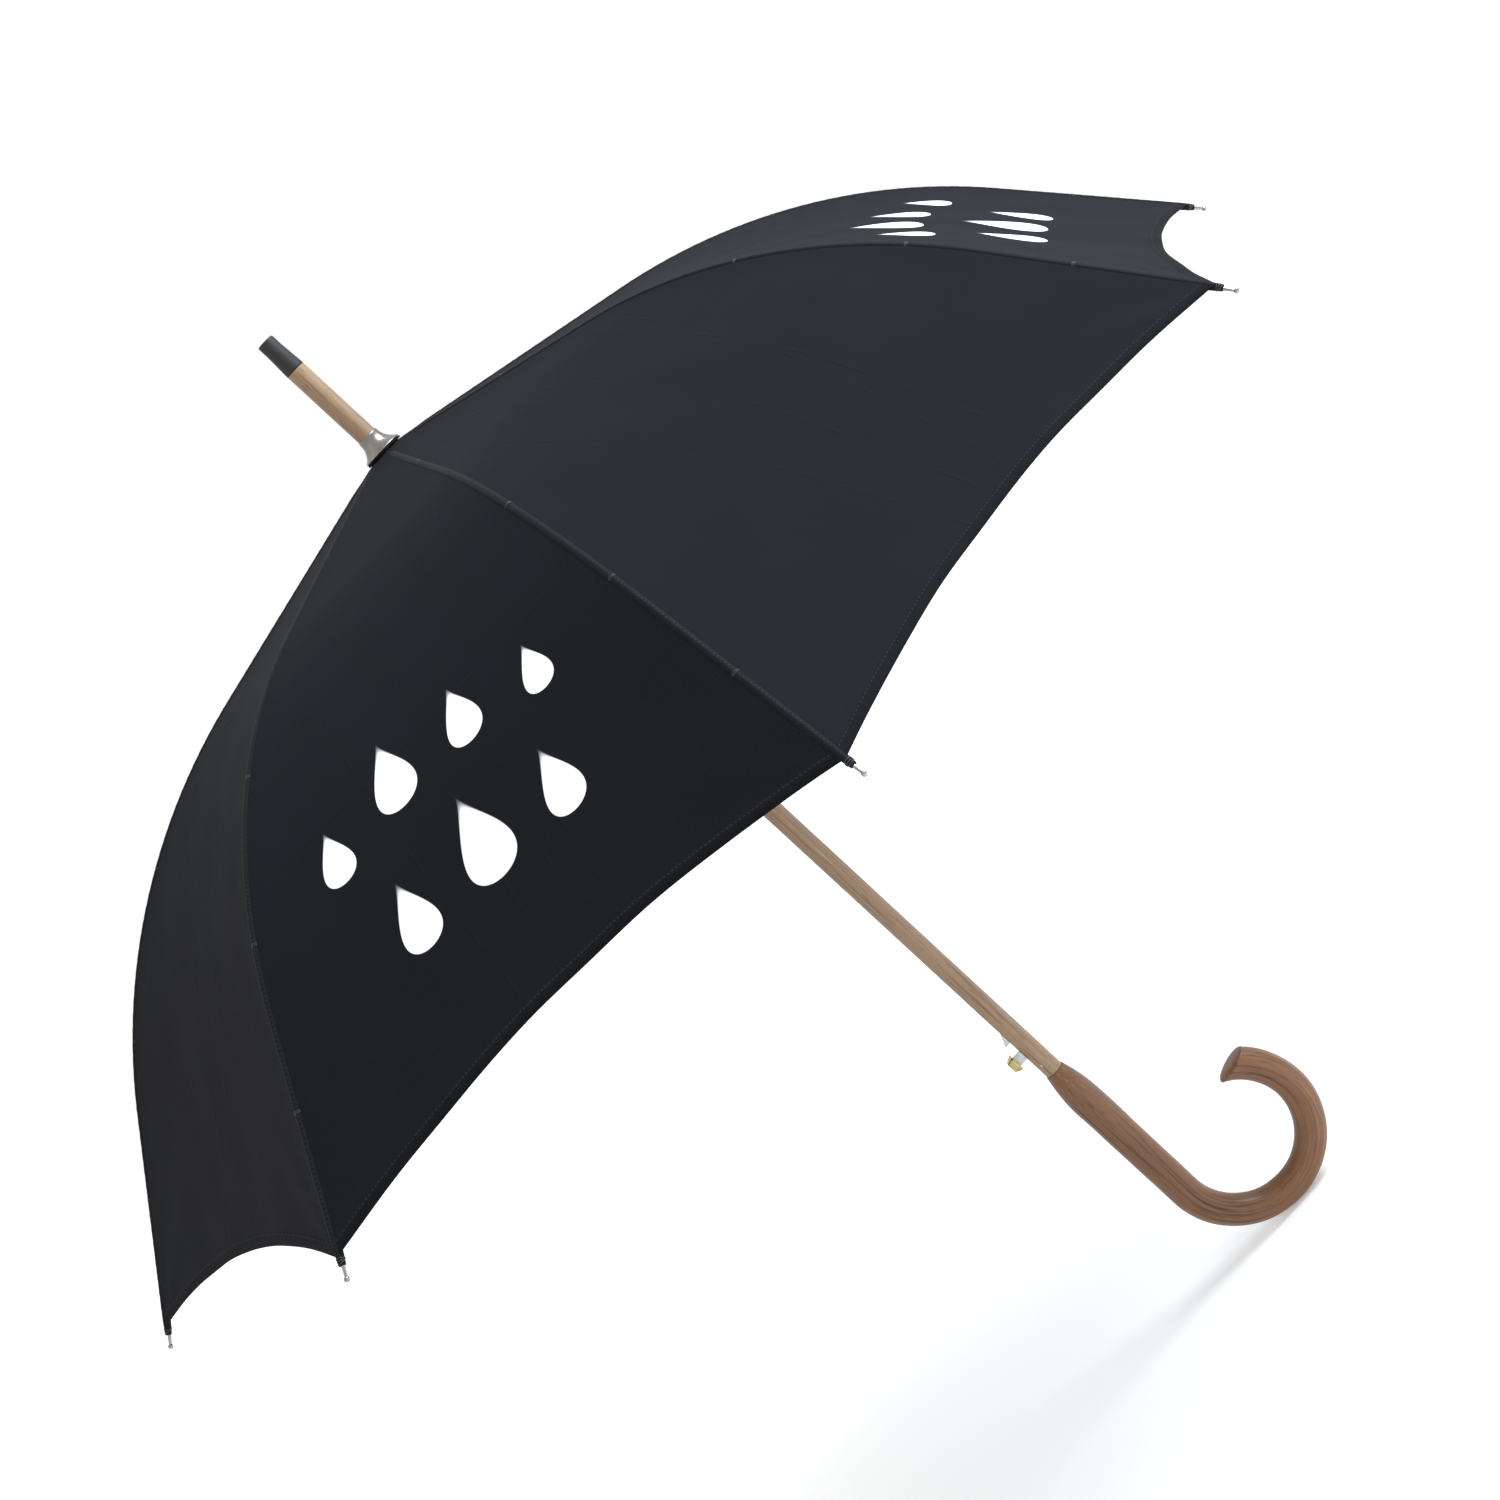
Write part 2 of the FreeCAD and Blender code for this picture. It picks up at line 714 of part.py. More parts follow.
def make_notch():
    bore = S["shaft_radius"] + S["bore_play"]
    notch = revolved(
        "TopNotch",
        [
            (bore, crown - S["notch_hub_bottom"]),
            (S["notch_hub_radius"], crown - S["notch_hub_bottom"]),
            (S["notch_hub_radius"], crown - S["notch_bottom"]),
            (S["notch_radius"], crown - S["notch_bottom"]),
            (S["notch_radius"], crown - S["notch_top"]),
            (bore, crown - S["notch_top"]),
        ],
    )
    deep = crown * 3
    slots_round(notch, "NotchSlot", S["slot_floor"], S["notch_radius"] + 1, S["notch_slot"], deep)
    wire_z = crown - S["notch_pivot_depth"]
    finish_hub("Notch", notch, S["notch_pivot_radius"], wire_z, "top_notch", "notch_wire", ["NotchPin"])


def finish_hub(name, hub, wire_ring, wire_z, label, wire_label, pins=()):
    """Bores the groove of the hinge wire, turns the hub to the ribs, and adds the wire."""
    turned = doc.addObject("Part::Compound", name + "Turned")
    turned.Links = [hub]
    turn_about(turned, Vector(0, 0, 1), S["rib_turn"])
    groove = ring(name + "Groove", wire_ring, S["wire_radius"], wire_z)
    tools = [groove] + [pin_body(name + pin + "Hole", *PINS[pin]) for pin in pins]
    if label == "runner":
        tools.append(runner_window())
    subpart(cut(name + "Hub", turned, tools), label)
    subpart(ring(name + "Wire", wire_ring, S["wire_radius"], wire_z), wire_label)


def runner_window():
    bottom = runner_z - S["runner_sleeve"]
    return box(
        "CatchWindow",
        S["hub_radius"] + S["runner_ring"],
        S["window_width"],
        S["window_height"],
        -S["hub_radius"] - S["runner_ring"] * 2,
        -S["window_width"] / 2,
        bottom + S["window_bottom"],
    )


def make_runner():
    bore = S["shaft_radius"] + S["slide_play"]
    bottom = runner_z - S["runner_sleeve"]
    runner = revolved(
        "Runner",
        [
            (bore, bottom),
            (S["hub_radius"] + S["runner_ring"], bottom),
            (S["hub_radius"] + S["runner_ring"], bottom + S["runner_ring"] * 2),
            (S["hub_radius"], bottom + S["runner_ring"] * 3),
            (S["hub_radius"], runner_z - S["flange_below"]),
            (S["flange_radius"], runner_z - S["flange_below"]),
            (S["flange_radius"], runner_z + S["flange_above"]),
            (bore, runner_z + S["flange_above"]),
        ],
    )
    cut_hub_slots(runner, "RunnerSlot")
    finish_hub("Runner", runner, link_radius, runner_z, "runner", "runner_wire")


def make_collar():
    bore = S["shaft_radius"] + S["slide_play"]
    top = collar_z + S["flange_above"]
    collar = revolved(
        "SpringCollar",
        [
            (bore, collar_z - S["flange_below"]),
            (S["flange_radius"], collar_z - S["flange_below"]),
            (S["flange_radius"], top),
            (S["hub_radius"], top),
            (S["hub_radius"], collar_top),
            (bore, collar_top),
        ],
    )
    cut_hub_slots(collar, "CollarSlot")
    finish_hub("Collar", collar, link_radius, collar_z, "spring_collar", "collar_wire")


def cut_hub_slots(hub, name):
    slots_round(hub, name, S["hub_slot_floor"], S["flange_radius"] + 1, S["hub_slot"], crown * 3)


def make_main_spring():
    low = runner_z + S["flange_above"] + S["spring_seat"] + S["spring_wire"]
    high = collar_z - S["flange_below"] - S["spring_seat"] - S["spring_wire"]
    spring = coil(
        "OpeningSpring", S["spring_radius"], S["spring_wire"], high - low, S["spring_turns"], z=low
    )
    subpart(spring, "opening_spring")


# ---------------------------------------------------------------- ribs, tips and links


def across(name, radius, length, x, z):
    """A round bar across the rib's plane, centred on it."""
    return cylinder(name, radius, length, x, length / 2, z, Rotation(Vector(1, 0, 0), 90))


def make_rib_master():
    top = S["rib_depth"] - S["rib_height"] / 2
    bottom = S["rib_depth"] + S["rib_height"] / 2
    finish = S["rib_outer"] - S["tip_back"]
    bar = padded("RibBar", rib_band(top, bottom, S["rib_start"], finish), S["rib_width"])
    groove = padded(
        "RibGroove",
        rib_band(
            bottom - S["rib_groove_depth"],
            bottom + 1,
            S["rib_start"] + S["blade_overlap"],
            finish - 10,
        ),
        S["rib_groove_width"],
    )
    eye_x = S["notch_pivot_radius"]
    eye_z = crown - S["notch_pivot_depth"]
    half = S["blade_height"] / 2
    blade_end = S["rib_start"] + S["blade_overlap"] - 2
    blade = padded(
        "RibBlade",
        [
            (eye_x, eye_z + half),
            inner_point(blade_end, S["rib_depth"] - half),
            inner_point(blade_end, S["rib_depth"] + half),
            (eye_x, eye_z - half),
        ],
        S["blade_thickness"],
    )
    boss = across("RibBoss", half, S["blade_thickness"], eye_x, eye_z)
    eye = across("RibEye", S["wire_radius"] + S["eye_play"], S["rib_width"] * 2, eye_x, eye_z)
    rivet_hole = across(
        "RibRivetHole", S["rivet_radius"] + S["bore_play"], S["rib_width"] * 2, joint_x, joint_z
    )
    return cut("Rib", fuse("RibSolid", [bar, blade, boss]), [groove, eye, rivet_hole])


def make_tip_master():
    """A cone that closes the rib's end and carries a small ball."""
    back = S["tip_back"]
    x, z = outer_point(S["rib_outer"] - back, S["rib_depth"])
    cone = add(
        "Part::Cone",
        "TipCone",
        Radius1=S["tip_radius"],
        Radius2=S["tip_neck_radius"],
        Height=back + S["tip_length"],
    )
    place(cone, x, 0, z)
    turn_about(cone, Vector(0, 1, 0), end_slope + 90)
    ball_x, ball_z = outer_point(S["rib_outer"] + S["tip_length"], S["rib_depth"])
    ball = place(add("Part::Sphere", "TipBall", Radius=S["ball_radius"]), ball_x, 0, ball_z)
    return fuse("RibTip", [cone, ball])


def lean_to(link, x, z, lean):
    """Moves a link that was drawn along +Z from its lower pivot to its real place."""
    carried = doc.addObject("Part::Compound", link.Name + "Placed")
    carried.Links = [link]
    place(carried, x, 0, z)
    return turn_about(carried, Vector(0, 1, 0), lean)


def open_eye(name, way_out):
    """The mouth through which the wire can leave a link's lower eye.

    It opens towards the shaft, at the angle way_out up the link.
    """
    clear = S["wire_radius"] + S["eye_play"]
    reach = S["channel_start"]
    slant_x, slant_z = cosine(way_out), sine(way_out)
    return padded(
        name,
        [
            (0, -clear),
            (-reach, -clear),
            (-reach * slant_x, reach * slant_z + clear / slant_x),
            (clear * slant_z, clear * slant_x),
        ],
        S["channel_width"] * 2,
    )


def make_stretcher_master():
    """A channel open towards the shaft, with a flat lower end and cheeks that straddle the rib."""
    length, wall = S["stretcher_length"], S["channel_wall"]
    width, height = S["channel_width"], S["channel_height"]
    start = S["channel_start"]
    full = box("Channel", height, width, length + S["cheek_end"] - start, -height / 2, -width / 2, start)
    inside = box(
        "ChannelInside",
        height,
        width - wall * 2,
        length + S["cheek_end"] * 2 - start,
        -height / 2 - wall,
        -width / 2 + wall,
        start - 1,
    )
    roof = box(
        "ChannelMouth",
        height * 2,
        width - wall * 2,
        S["channel_open"] + S["cheek_end"] * 2,
        -height,
        -width / 2 + wall,
        length - S["channel_open"],
    )
    blade_half = S["link_blade_height"] / 2
    blade = box(
        "StretcherBlade",
        S["link_blade_height"],
        S["link_blade"],
        start + 6,
        -blade_half,
        -S["link_blade"] / 2,
        0,
    )
    boss = across("StretcherBoss", blade_half, S["link_blade"], 0, 0)
    eye = across("StretcherEye", S["wire_radius"] + S["eye_play"], width, 0, 0)
    shell = cut("StretcherChannel", full, [inside, roof])
    rivets = []
    for name, along in (("StrutRivet", S["strut_joint"]), ("RibRivet", length)):
        rivets.append(across(name, S["rivet_radius"], width, 0, along))
        for side in (-1, 1):
            head = across(f"{name}Head{side + 1}", S["rivet_head_radius"], S["rivet_head"], 0, along)
            place(
                head,
                0,
                S["rivet_head"] / 2 + (width + S["rivet_head"]) / 2 * side,
                along,
                Rotation(Vector(1, 0, 0), 90),
            )
            rivets.append(head)
    mouth = open_eye("StretcherMouth", 36)
    blade_cut = cut("StretcherBladeCut", fuse("StretcherEnd", [blade, boss]), [eye, mouth])
    link = fuse("Stretcher", [shell, blade_cut] + rivets)
    return lean_to(link, link_radius, runner_z, stretcher_lean)


def make_strut_master():
    """A flat bar from the collar to the middle of a stretcher."""
    length, thick, half = S["strut_length"], S["link_blade"], S["strut_height"] / 2
    bar = box("StrutBar", S["strut_height"], thick, length, -half, -thick / 2, 0)
    ends = [
        across("StrutLowEnd", half, thick, 0, 0),
        across("StrutHighEnd", half, thick, 0, length),
    ]
    holes = [
        across("StrutLowEye", S["wire_radius"] + S["eye_play"], thick * 2, 0, 0),
        across("StrutHighEye", S["rivet_radius"] + S["bore_play"], thick * 2, 0, length),
        open_eye("StrutMouth", 27),
    ]
    link = cut("Strut", fuse("StrutSolid", [bar] + ends), holes)
    return lean_to(link, link_radius, collar_z, strut_lean)


# ---------------------------------------------------------------- canopy


def flat_sketch(name, outline, turn=None):
    sketch = doc.addObject("Sketcher::SketchObject", name)
    sketch.Placement = Placement(Vector(0, 0, 0), turn or Rotation())
    return draw(sketch, outline)


def extruded(name, sketch, direction, length):
    made = doc.addObject("Part::Extrusion", name)
    made.Base = sketch
    made.DirMode = "Custom"
    made.Dir = direction
    made.Solid = True
    return bind(made, LengthFwd=length)


def make_panel_master():
    """The cloth round one rib: half of the panel on each side of it, each flat across between the ribs."""
    band = flat_sketch(
        "ClothBand",
        rib_band(as_size(0), S["cloth_thickness"], as_size(0), S["rib_outer"]),
        Rotation(Vector(1, 0, 0), 90),
    )
    half = math.radians(PANEL_ANGLE)
    side = extruded("ClothSide", band, Vector(-math.sin(half), math.cos(half), 0), crown)
    inner = S["cloth_start"]
    hem_x, _ = outer_point(S["rib_outer"], as_size(0))
    gap = S["panel_gap"] / 2
    middle = hem_x * cosine(PANEL_ANGLE) - S["hem_rise"]
    half_chord = hem_x * sine(PANEL_ANGLE)
    hem_radius = (half_chord * half_chord + S["hem_rise"] * S["hem_rise"]) / (S["hem_rise"] * 2)

    def on_middle(radius):
        x = radius * cosine(PANEL_ANGLE) + gap * sine(PANEL_ANGLE)
        return x, radius * sine(PANEL_ANGLE) - gap * cosine(PANEL_ANGLE)

    wedge = flat_sketch(
        "ClothWedge",
        [
            (inner * 0.5, 0),
            (hem_x, 0, hem_radius),
            on_middle(middle),
            on_middle(inner * 0.5),
        ],
    )
    plan = extruded("ClothPlan", wedge, Vector(0, 0, 1), crown * 1.5)
    left = doc.addObject("Part::MultiCommon", "ClothLeft")
    left.Shapes = [side, plan]
    right = doc.addObject("Part::Mirroring", "ClothRight")
    right.Source = left
    right.Normal = Vector(0, 1, 0)
    return fuse("Cloth", [left, right])


def make_strap():
    """The closing strap, lying on the straight outer part of one panel beside a rib."""
    beyond = S["strap_arc"] - S["rib_straight"] - S["rib_bend"] * S["rib_bend_angle"] * (math.pi / 180)
    x, z = outer_point(beyond, -S["strap_gap"])
    strap = box(
        "StrapBand",
        S["strap_width"],
        S["strap_length"],
        S["strap_thickness"],
        0,
        -S["strap_length"] - 2,
        0,
    )
    leaning = doc.addObject("Part::Compound", "StrapLeaning")
    leaning.Links = [strap]
    turn_about(leaning, Vector(0, 1, 0), end_slope)
    squared = doc.addObject("Part::Compound", "StrapSquared")
    squared.Links = [leaning]
    turn_about(squared, Vector(0, 0, 1), -PANEL_ANGLE)
    seated = doc.addObject("Part::Compound", "StrapSeated")
    seated.Links = [squared]
    place(seated, x, 0, z)
    made = doc.addObject("Part::Compound", "ClosingStrap")
    made.Links = [seated]
    turn_about(made, Vector(0, 0, 1), S["rib_turn"] + 360 / RIBS * (STRAP_RIB - 1))
    subpart(made, "closing_strap")


# ---------------------------------------------------------------- build, check and write

make_shaft()
make_pins()
make_ferrule_cap()
make_crown()
make_handle()
make_catch()
make_catch_spring()
make_notch()
make_runner()
make_collar()
make_main_spring()
masters = {
    "rib": make_rib_master(),
    "rib_tip": make_tip_master(),
    "stretcher": make_stretcher_master(),
    "strut": make_strut_master(),
    "canopy_panel": make_panel_master(),
}
for label, master in masters.items():
    for number in range(1, RIBS + 1):
        copy_round(master, label, number)
make_strap()

doc.recompute()
for thing in doc.Objects:
    if any(word in thing.State for word in ("Invalid", "Error")):
        raise RuntimeError(f"{thing.Label} failed: {thing.State}")
os.makedirs("parts", exist_ok=True)
for thing in subparts:
    shape = thing.Shape
    if shape.isNull() or not shape.isValid() or not shape.Solids:
        raise RuntimeError(f"{thing.Label} has no valid solid")
for thing in subparts:
    thing.Shape.exportStep(f"parts/{thing.Label}.step")
print(len(subparts), "sub-parts")
print("runner pivots at", round(runner_z.value, 3), "collar pivots at", round(collar_z.value, 3))
print("rib joint at", round(joint_x.value, 3), round(joint_z.value, 3))
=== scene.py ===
import math

import bpy
import numpy as np
from mathutils import Matrix, Vector
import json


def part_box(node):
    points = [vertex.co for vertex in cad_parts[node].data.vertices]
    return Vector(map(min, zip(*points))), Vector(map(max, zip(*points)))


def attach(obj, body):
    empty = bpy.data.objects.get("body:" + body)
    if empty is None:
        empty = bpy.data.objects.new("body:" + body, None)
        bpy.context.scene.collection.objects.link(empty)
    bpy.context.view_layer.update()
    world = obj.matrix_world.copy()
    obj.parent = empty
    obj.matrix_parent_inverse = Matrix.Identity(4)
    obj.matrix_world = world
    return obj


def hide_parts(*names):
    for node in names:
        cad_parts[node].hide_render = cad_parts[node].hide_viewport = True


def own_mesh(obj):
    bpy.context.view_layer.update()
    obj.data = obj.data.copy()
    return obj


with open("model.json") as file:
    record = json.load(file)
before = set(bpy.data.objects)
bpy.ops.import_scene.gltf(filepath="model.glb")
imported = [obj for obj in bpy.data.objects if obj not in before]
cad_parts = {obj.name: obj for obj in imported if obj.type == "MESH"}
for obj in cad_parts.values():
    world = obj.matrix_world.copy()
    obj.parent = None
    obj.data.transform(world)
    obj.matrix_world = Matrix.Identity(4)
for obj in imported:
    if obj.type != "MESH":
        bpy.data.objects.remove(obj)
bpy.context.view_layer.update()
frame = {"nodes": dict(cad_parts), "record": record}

# The umbrella in metres, in the model's frame: +Z up the shaft, the crook opens towards +X.
CROWN = 0.685
RIBS = 8
FIRST_RIB = math.radians(9.5)
HALF_GORE = math.radians(22.5)

# A rib's line from the crown: straight down a slope, round a bend, then straight again.
CLOTH_START = 0.012
SLOPE = math.radians(12.1)
STRAIGHT = 0.177
BEND = 0.413
BEND_ANGLE = math.radians(37.4)
BEND_END = STRAIGHT + BEND * BEND_ANGLE

# The cloth: where it ends down a rib, how far its hem curves in at mid-gore, its hem and its thickness.
CLOTH_END = 0.583
HEM_RISE = 0.024
HEM_WIDTH = 0.008
CLOTH = 0.00035

# The strips' edges down the rib, and the two gores that are printed.
ZONES = (0, 0.09, 0.177, 0.222, 0.267, 0.312, 0.357, 0.402, 0.447, 0.480, 0.512, 0.545, 0.583)
PRINTED_GORES = (6, 8)


# ---------------------------------------------------------------- materials


class Surface:
    """A node material around one Principled shader. Lengths are in metres."""

    def __init__(self, name, color, roughness, metallic=0.0, **sockets):
        self.material = bpy.data.materials.new(name)
        self.material.use_nodes = True
        self.tree = self.material.node_tree
        self.shader = self.tree.nodes["Principled BSDF"]
        self.shader.inputs["Base Color"].default_value = (*color, 1)
        self.shader.inputs["Roughness"].default_value = roughness
        self.shader.inputs["Metallic"].default_value = metallic
        for socket, value in sockets.items():
            self.shader.inputs[socket.replace("_", " ")].default_value = value
        self.height = None

    def node(self, kind, inputs=(), **settings):
        made = self.tree.nodes.new(kind)
        for key, value in settings.items():
            setattr(made, key, value)
        for key, value in dict(inputs).items():
            if isinstance(value, bpy.types.NodeSocket):
                self.tree.links.new(value, made.inputs[key])
            else:
                made.inputs[key].default_value = value
        return made

    def place(self):
        return self.node("ShaderNodeTexCoord").outputs["Object"]

    def named(self, attribute):
        return self.node("ShaderNodeAttribute", attribute_name=attribute).outputs["Vector"]

    def stretched(self, vector, scale):
        return self.node("ShaderNodeMapping", {"Vector": vector, "Scale": scale}).outputs["Vector"]

    def noise(self, vector, scale, detail=3.0, roughness=0.5, distortion=0.0):
        inputs = {"Vector": vector, "Scale": scale, "Detail": detail, "Roughness": roughness}
        made = self.node("ShaderNodeTexNoise", {**inputs, "Distortion": distortion})
        return made.outputs["Fac"]

    def math(self, operation, first, second=0.5, third=0.5):
        return self.node("ShaderNodeMath", {0: first, 1: second, 2: third}, operation=operation).outputs[0]

    def split(self, vector):
        return self.node("ShaderNodeSeparateXYZ", {0: vector}).outputs

    def remap(self, value, low, high, new_low, new_high):
        inputs = {"Value": value, "From Min": low, "From Max": high, "To Min": new_low, "To Max": new_high}
        return self.node("ShaderNodeMapRange", inputs).outputs["Result"]

    def ramp(self, value, stops):
        made = self.node("ShaderNodeValToRGB", {"Fac": value})
        elements = made.color_ramp.elements
        while len(elements) < len(stops):
            elements.new(0.5)
        for element, (position, color) in zip(elements, stops):
            element.position = position
            element.color = (*color, 1)
        return made.outputs["Color"]

    def mix(self, share, first, second, blend="MIX"):
        made = self.node("ShaderNodeMix", data_type="RGBA", blend_type=blend)
        for key, value in ((0, share), (6, first), (7, second)):
            if isinstance(value, bpy.types.NodeSocket):
                self.tree.links.new(value, made.inputs[key])
            else:
                made.inputs[key].default_value = value if key == 0 else (*value, 1)
        return made.outputs[2]

    def feed(self, socket, output):
        self.tree.links.new(output, self.shader.inputs[socket])

    def bump(self, height, distance, strength=1.0):
        inputs = {"Height": height, "Distance": distance, "Strength": strength}
        if self.height is not None:
            inputs["Normal"] = self.height
        self.height = self.node("ShaderNodeBump", inputs).outputs["Normal"]
        self.feed("Normal", self.height)


def wood(name, coordinates, light, middle, dark, gloss):
    """Satin-varnished wood: long streaks, fine dark pores and a slow change of tone along the grain."""
    sockets = {"Coat_Weight": 0.10, "Coat_Roughness": 0.25, "Specular_IOR_Level": 0.3}
    made = Surface(name, middle, gloss, **sockets)
    where = made.place() if coordinates is None else made.named(coordinates)
    warp = made.noise(made.stretched(where, (28, 28, 9)), 1.0, 2)
    bands = made.noise(made.stretched(where, (420, 420, 9)), 1.0, 4, 0.6, 0.35)
    pores = made.noise(made.stretched(where, (1900, 1900, 85)), 1.0, 3, 0.7)
    tone = made.math("ADD", made.math("MULTIPLY", bands, 0.72), made.math("MULTIPLY", warp, 0.28))
    grain = made.ramp(tone, [(0.34, dark), (0.47, middle), (0.56, middle), (0.68, light)])
    pore = made.remap(pores, 0.56, 0.66, 0.0, 0.75)
    made.feed("Base Color", made.mix(pore, grain, dark))
    made.feed("Roughness", made.remap(bands, 0.3, 0.7, gloss - 0.06, gloss + 0.12))
    made.bump(pores, 0.00008, 0.5)
    return made


def metal(name, color, roughness, grain=600, spread=0.1, metallic=1.0):
    """Plated or drawn metal with a little unevenness in its polish."""
    made = Surface(name, color, roughness, metallic)
    uneven = made.noise(made.place(), grain, 4, 0.6)
    made.feed("Roughness", made.remap(uneven, 0.3, 0.7, max(roughness - spread, 0.03), roughness + spread))
    worn = made.noise(made.place(), grain * 0.22, 3)
    darker = tuple(c * 0.72 for c in color)
    made.feed("Base Color", made.mix(made.remap(worn, 0.35, 0.65, 0.0, 1.0), darker, color))
    made.bump(uneven, 0.00002, 0.35)
    return made


def moulded(name, color, roughness):
    """Moulded plastic or enamel: a fine texture and slightly uneven gloss."""
    made = Surface(name, color, roughness)
    fine = made.noise(made.place(), 2600, 3, 0.6)
    slow = made.noise(made.place(), 120, 2)
    made.feed("Roughness", made.remap(slow, 0.3, 0.7, roughness - 0.07, roughness + 0.1))
    lighter = tuple(c * 1.5 + 0.004 for c in color)
    made.feed("Base Color", made.mix(made.remap(slow, 0.35, 0.7, 0.0, 1.0), color, lighter))
    made.bump(fine, 0.00003, 0.4)
    return made


def line(made, distance, half_width):
    """1 on a line and 0 further than its half width from it."""
    return made.remap(made.math("ABSOLUTE", distance), 0.0, half_width, 1.0, 0.0)


def cloth(name, color, lighter, printed=False):
    """Close-woven pongee: crossed threads, a soft sheen, pressed-in folds, and a stitched hem."""
    made = Surface(name, color, 0.80, **{"Specular_IOR_Level": 0.05})
    made.shader.inputs["Specular Tint"].default_value = (0.86, 0.92, 1.0, 1)
    place = made.named("cloth")
    across, _, hem = made.split(place)
    warp = made.noise(made.stretched(place, (2300, 520, 0)), 1.0, 2, 0.6)
    weft = made.noise(made.stretched(place, (520, 2300, 0)), 1.0, 2, 0.6)
    weave = made.math("MULTIPLY", made.math("ADD", warp, weft), 0.5)
    cloudy = made.noise(made.place(), 16, 3)
    tone = made.mix(made.remap(weave, 0.36, 0.64, 0.0, 1.0), color, lighter)
    tone = made.mix(made.remap(cloudy, 0.35, 0.7, 0.0, 0.35), tone, lighter)
    stitch_line = line(made, made.math("SUBTRACT", hem, 0.0068), 0.00045)
    dash = made.remap(made.math("SINE", made.math("MULTIPLY", across, 2300.0)), -0.5, 0.1, 0.0, 1.0)
    stitches = made.math("MULTIPLY", stitch_line, dash)
    band = made.remap(hem, 0.0072, 0.0080, 0.4, 0.0)
    tone = made.mix(band, tone, tuple(c * 0.7 for c in color))
    tone = made.mix(stitches, tone, (0.030, 0.030, 0.033))
    gore = made.named("gore")
    if printed:
        tone = made.mix(rain_print(made, gore), tone, (0.80, 0.80, 0.80))
    made.feed("Base Color", tone)
    made.feed("Roughness", made.remap(weave, 0.35, 0.65, 0.70, 0.90))
    side, down = made.split(gore)[0:2]
    patchy = made.remap(made.noise(made.place(), 34, 3), 0.42, 0.6, 0.0, 1.0)
    creases = line(made, side, 0.0016)
    for angle, offset in ((0.13, 0.092), (-0.10, -0.081), (0.0, 0.046)):
        slanted = made.math("MULTIPLY_ADD", down, angle, made.math("SUBTRACT", side, offset))
        creases = made.math("ADD", creases, line(made, slanted, 0.0014))
    for offset in (0.205, 0.372):
        creases = made.math("ADD", creases, line(made, made.math("SUBTRACT", down, offset), 0.0014))
    made.bump(made.math("MULTIPLY", creases, patchy), 0.0004, 0.5)
    crumple = made.noise(made.stretched(made.place(), (1, 1, 1)), 55, 4, 0.55, 0.6)
    made.bump(crumple, 0.0011, 0.22)
    pull = made.noise(made.stretched(place, (30, 420, 0)), 1.0, 2)
    near_seam = made.remap(made.math("ABSOLUTE", across), 0.002, 0.020, 1.0, 0.0)
    made.bump(made.math("MULTIPLY", pull, near_seam), 0.0012, 0.5)
    near_hem = made.remap(hem, 0.004, 0.022, 1.0, 0.0)
    pull = made.noise(made.stretched(place, (300, 20, 0)), 1.0, 2)
    made.bump(made.math("MULTIPLY", pull, near_hem), 0.0012, 0.45)
    made.bump(weave, 0.00022, 0.55)
    made.bump(stitches, 0.0003, 0.8)
    return made


def rain_print(made, gore):
    """Plain rain drops in a loose block in the middle of a gore."""
    side, down = made.split(gore)[0:2]
    row = made.math("SUBTRACT", down, 0.425)
    shapes = None
    for x, y, size in (
        (-0.078, -0.030, 0.020),
        (-0.026, -0.046, 0.026),
        (0.028, -0.040, 0.022),
        (0.080, -0.024, 0.018),
        (-0.054, 0.036, 0.024),
        (0.002, 0.030, 0.030),
        (0.057, 0.040, 0.023),
    ):
        across = made.math("DIVIDE", made.math("SUBTRACT", side, x), size)
        up = made.math("DIVIDE", made.math("SUBTRACT", y, row), size)
        below = made.math("MAXIMUM", made.math("ADD", up, 1.0), 0.0)
        above = made.math("POWER", made.math("MAXIMUM", made.math("SUBTRACT", 1.0, up), 0.0), 3.0)
        room = made.math("MULTIPLY", made.math("MULTIPLY", below, above), 0.20)
        inside = made.math("SUBTRACT", room, made.math("MULTIPLY", across, across))
        drop = made.remap(inside, 0.0, 0.015, 0.0, 1.0)
        shapes = drop if shapes is None else made.math("MAXIMUM", shapes, drop)
    return shapes


def seam_cloth(name, color):
    """The felled seam over a rib: folded cloth with one stitched line."""
    sockets = {"Specular_IOR_Level": 0.06, "Sheen_Weight": 0.01, "Sheen_Roughness": 0.4}
    made = Surface(name, color, 0.66, **sockets)
    place = made.named("cloth")
    across, along, _ = made.split(place)
    weave = made.noise(made.stretched(place, (1500, 1500, 0)), 1.0, 3, 0.6)
    groove = line(made, made.math("SUBTRACT", across, 0.0012), 0.0005)
    thread = made.remap(made.math("SINE", made.math("MULTIPLY", along, 2200.0)), -0.2, 0.4, 0.0, 1.0)
    stitches = made.math("MULTIPLY", groove, thread)
    tone = made.mix(made.remap(weave, 0.35, 0.65, 0.0, 1.0), color, tuple(c * 1.8 for c in color))
    made.feed("Base Color", made.mix(stitches, tone, (0.022, 0.022, 0.024)))
    made.bump(weave, 0.0002, 0.5)
    made.bump(made.math("SUBTRACT", stitches, groove), 0.0004, 0.8)
    return made


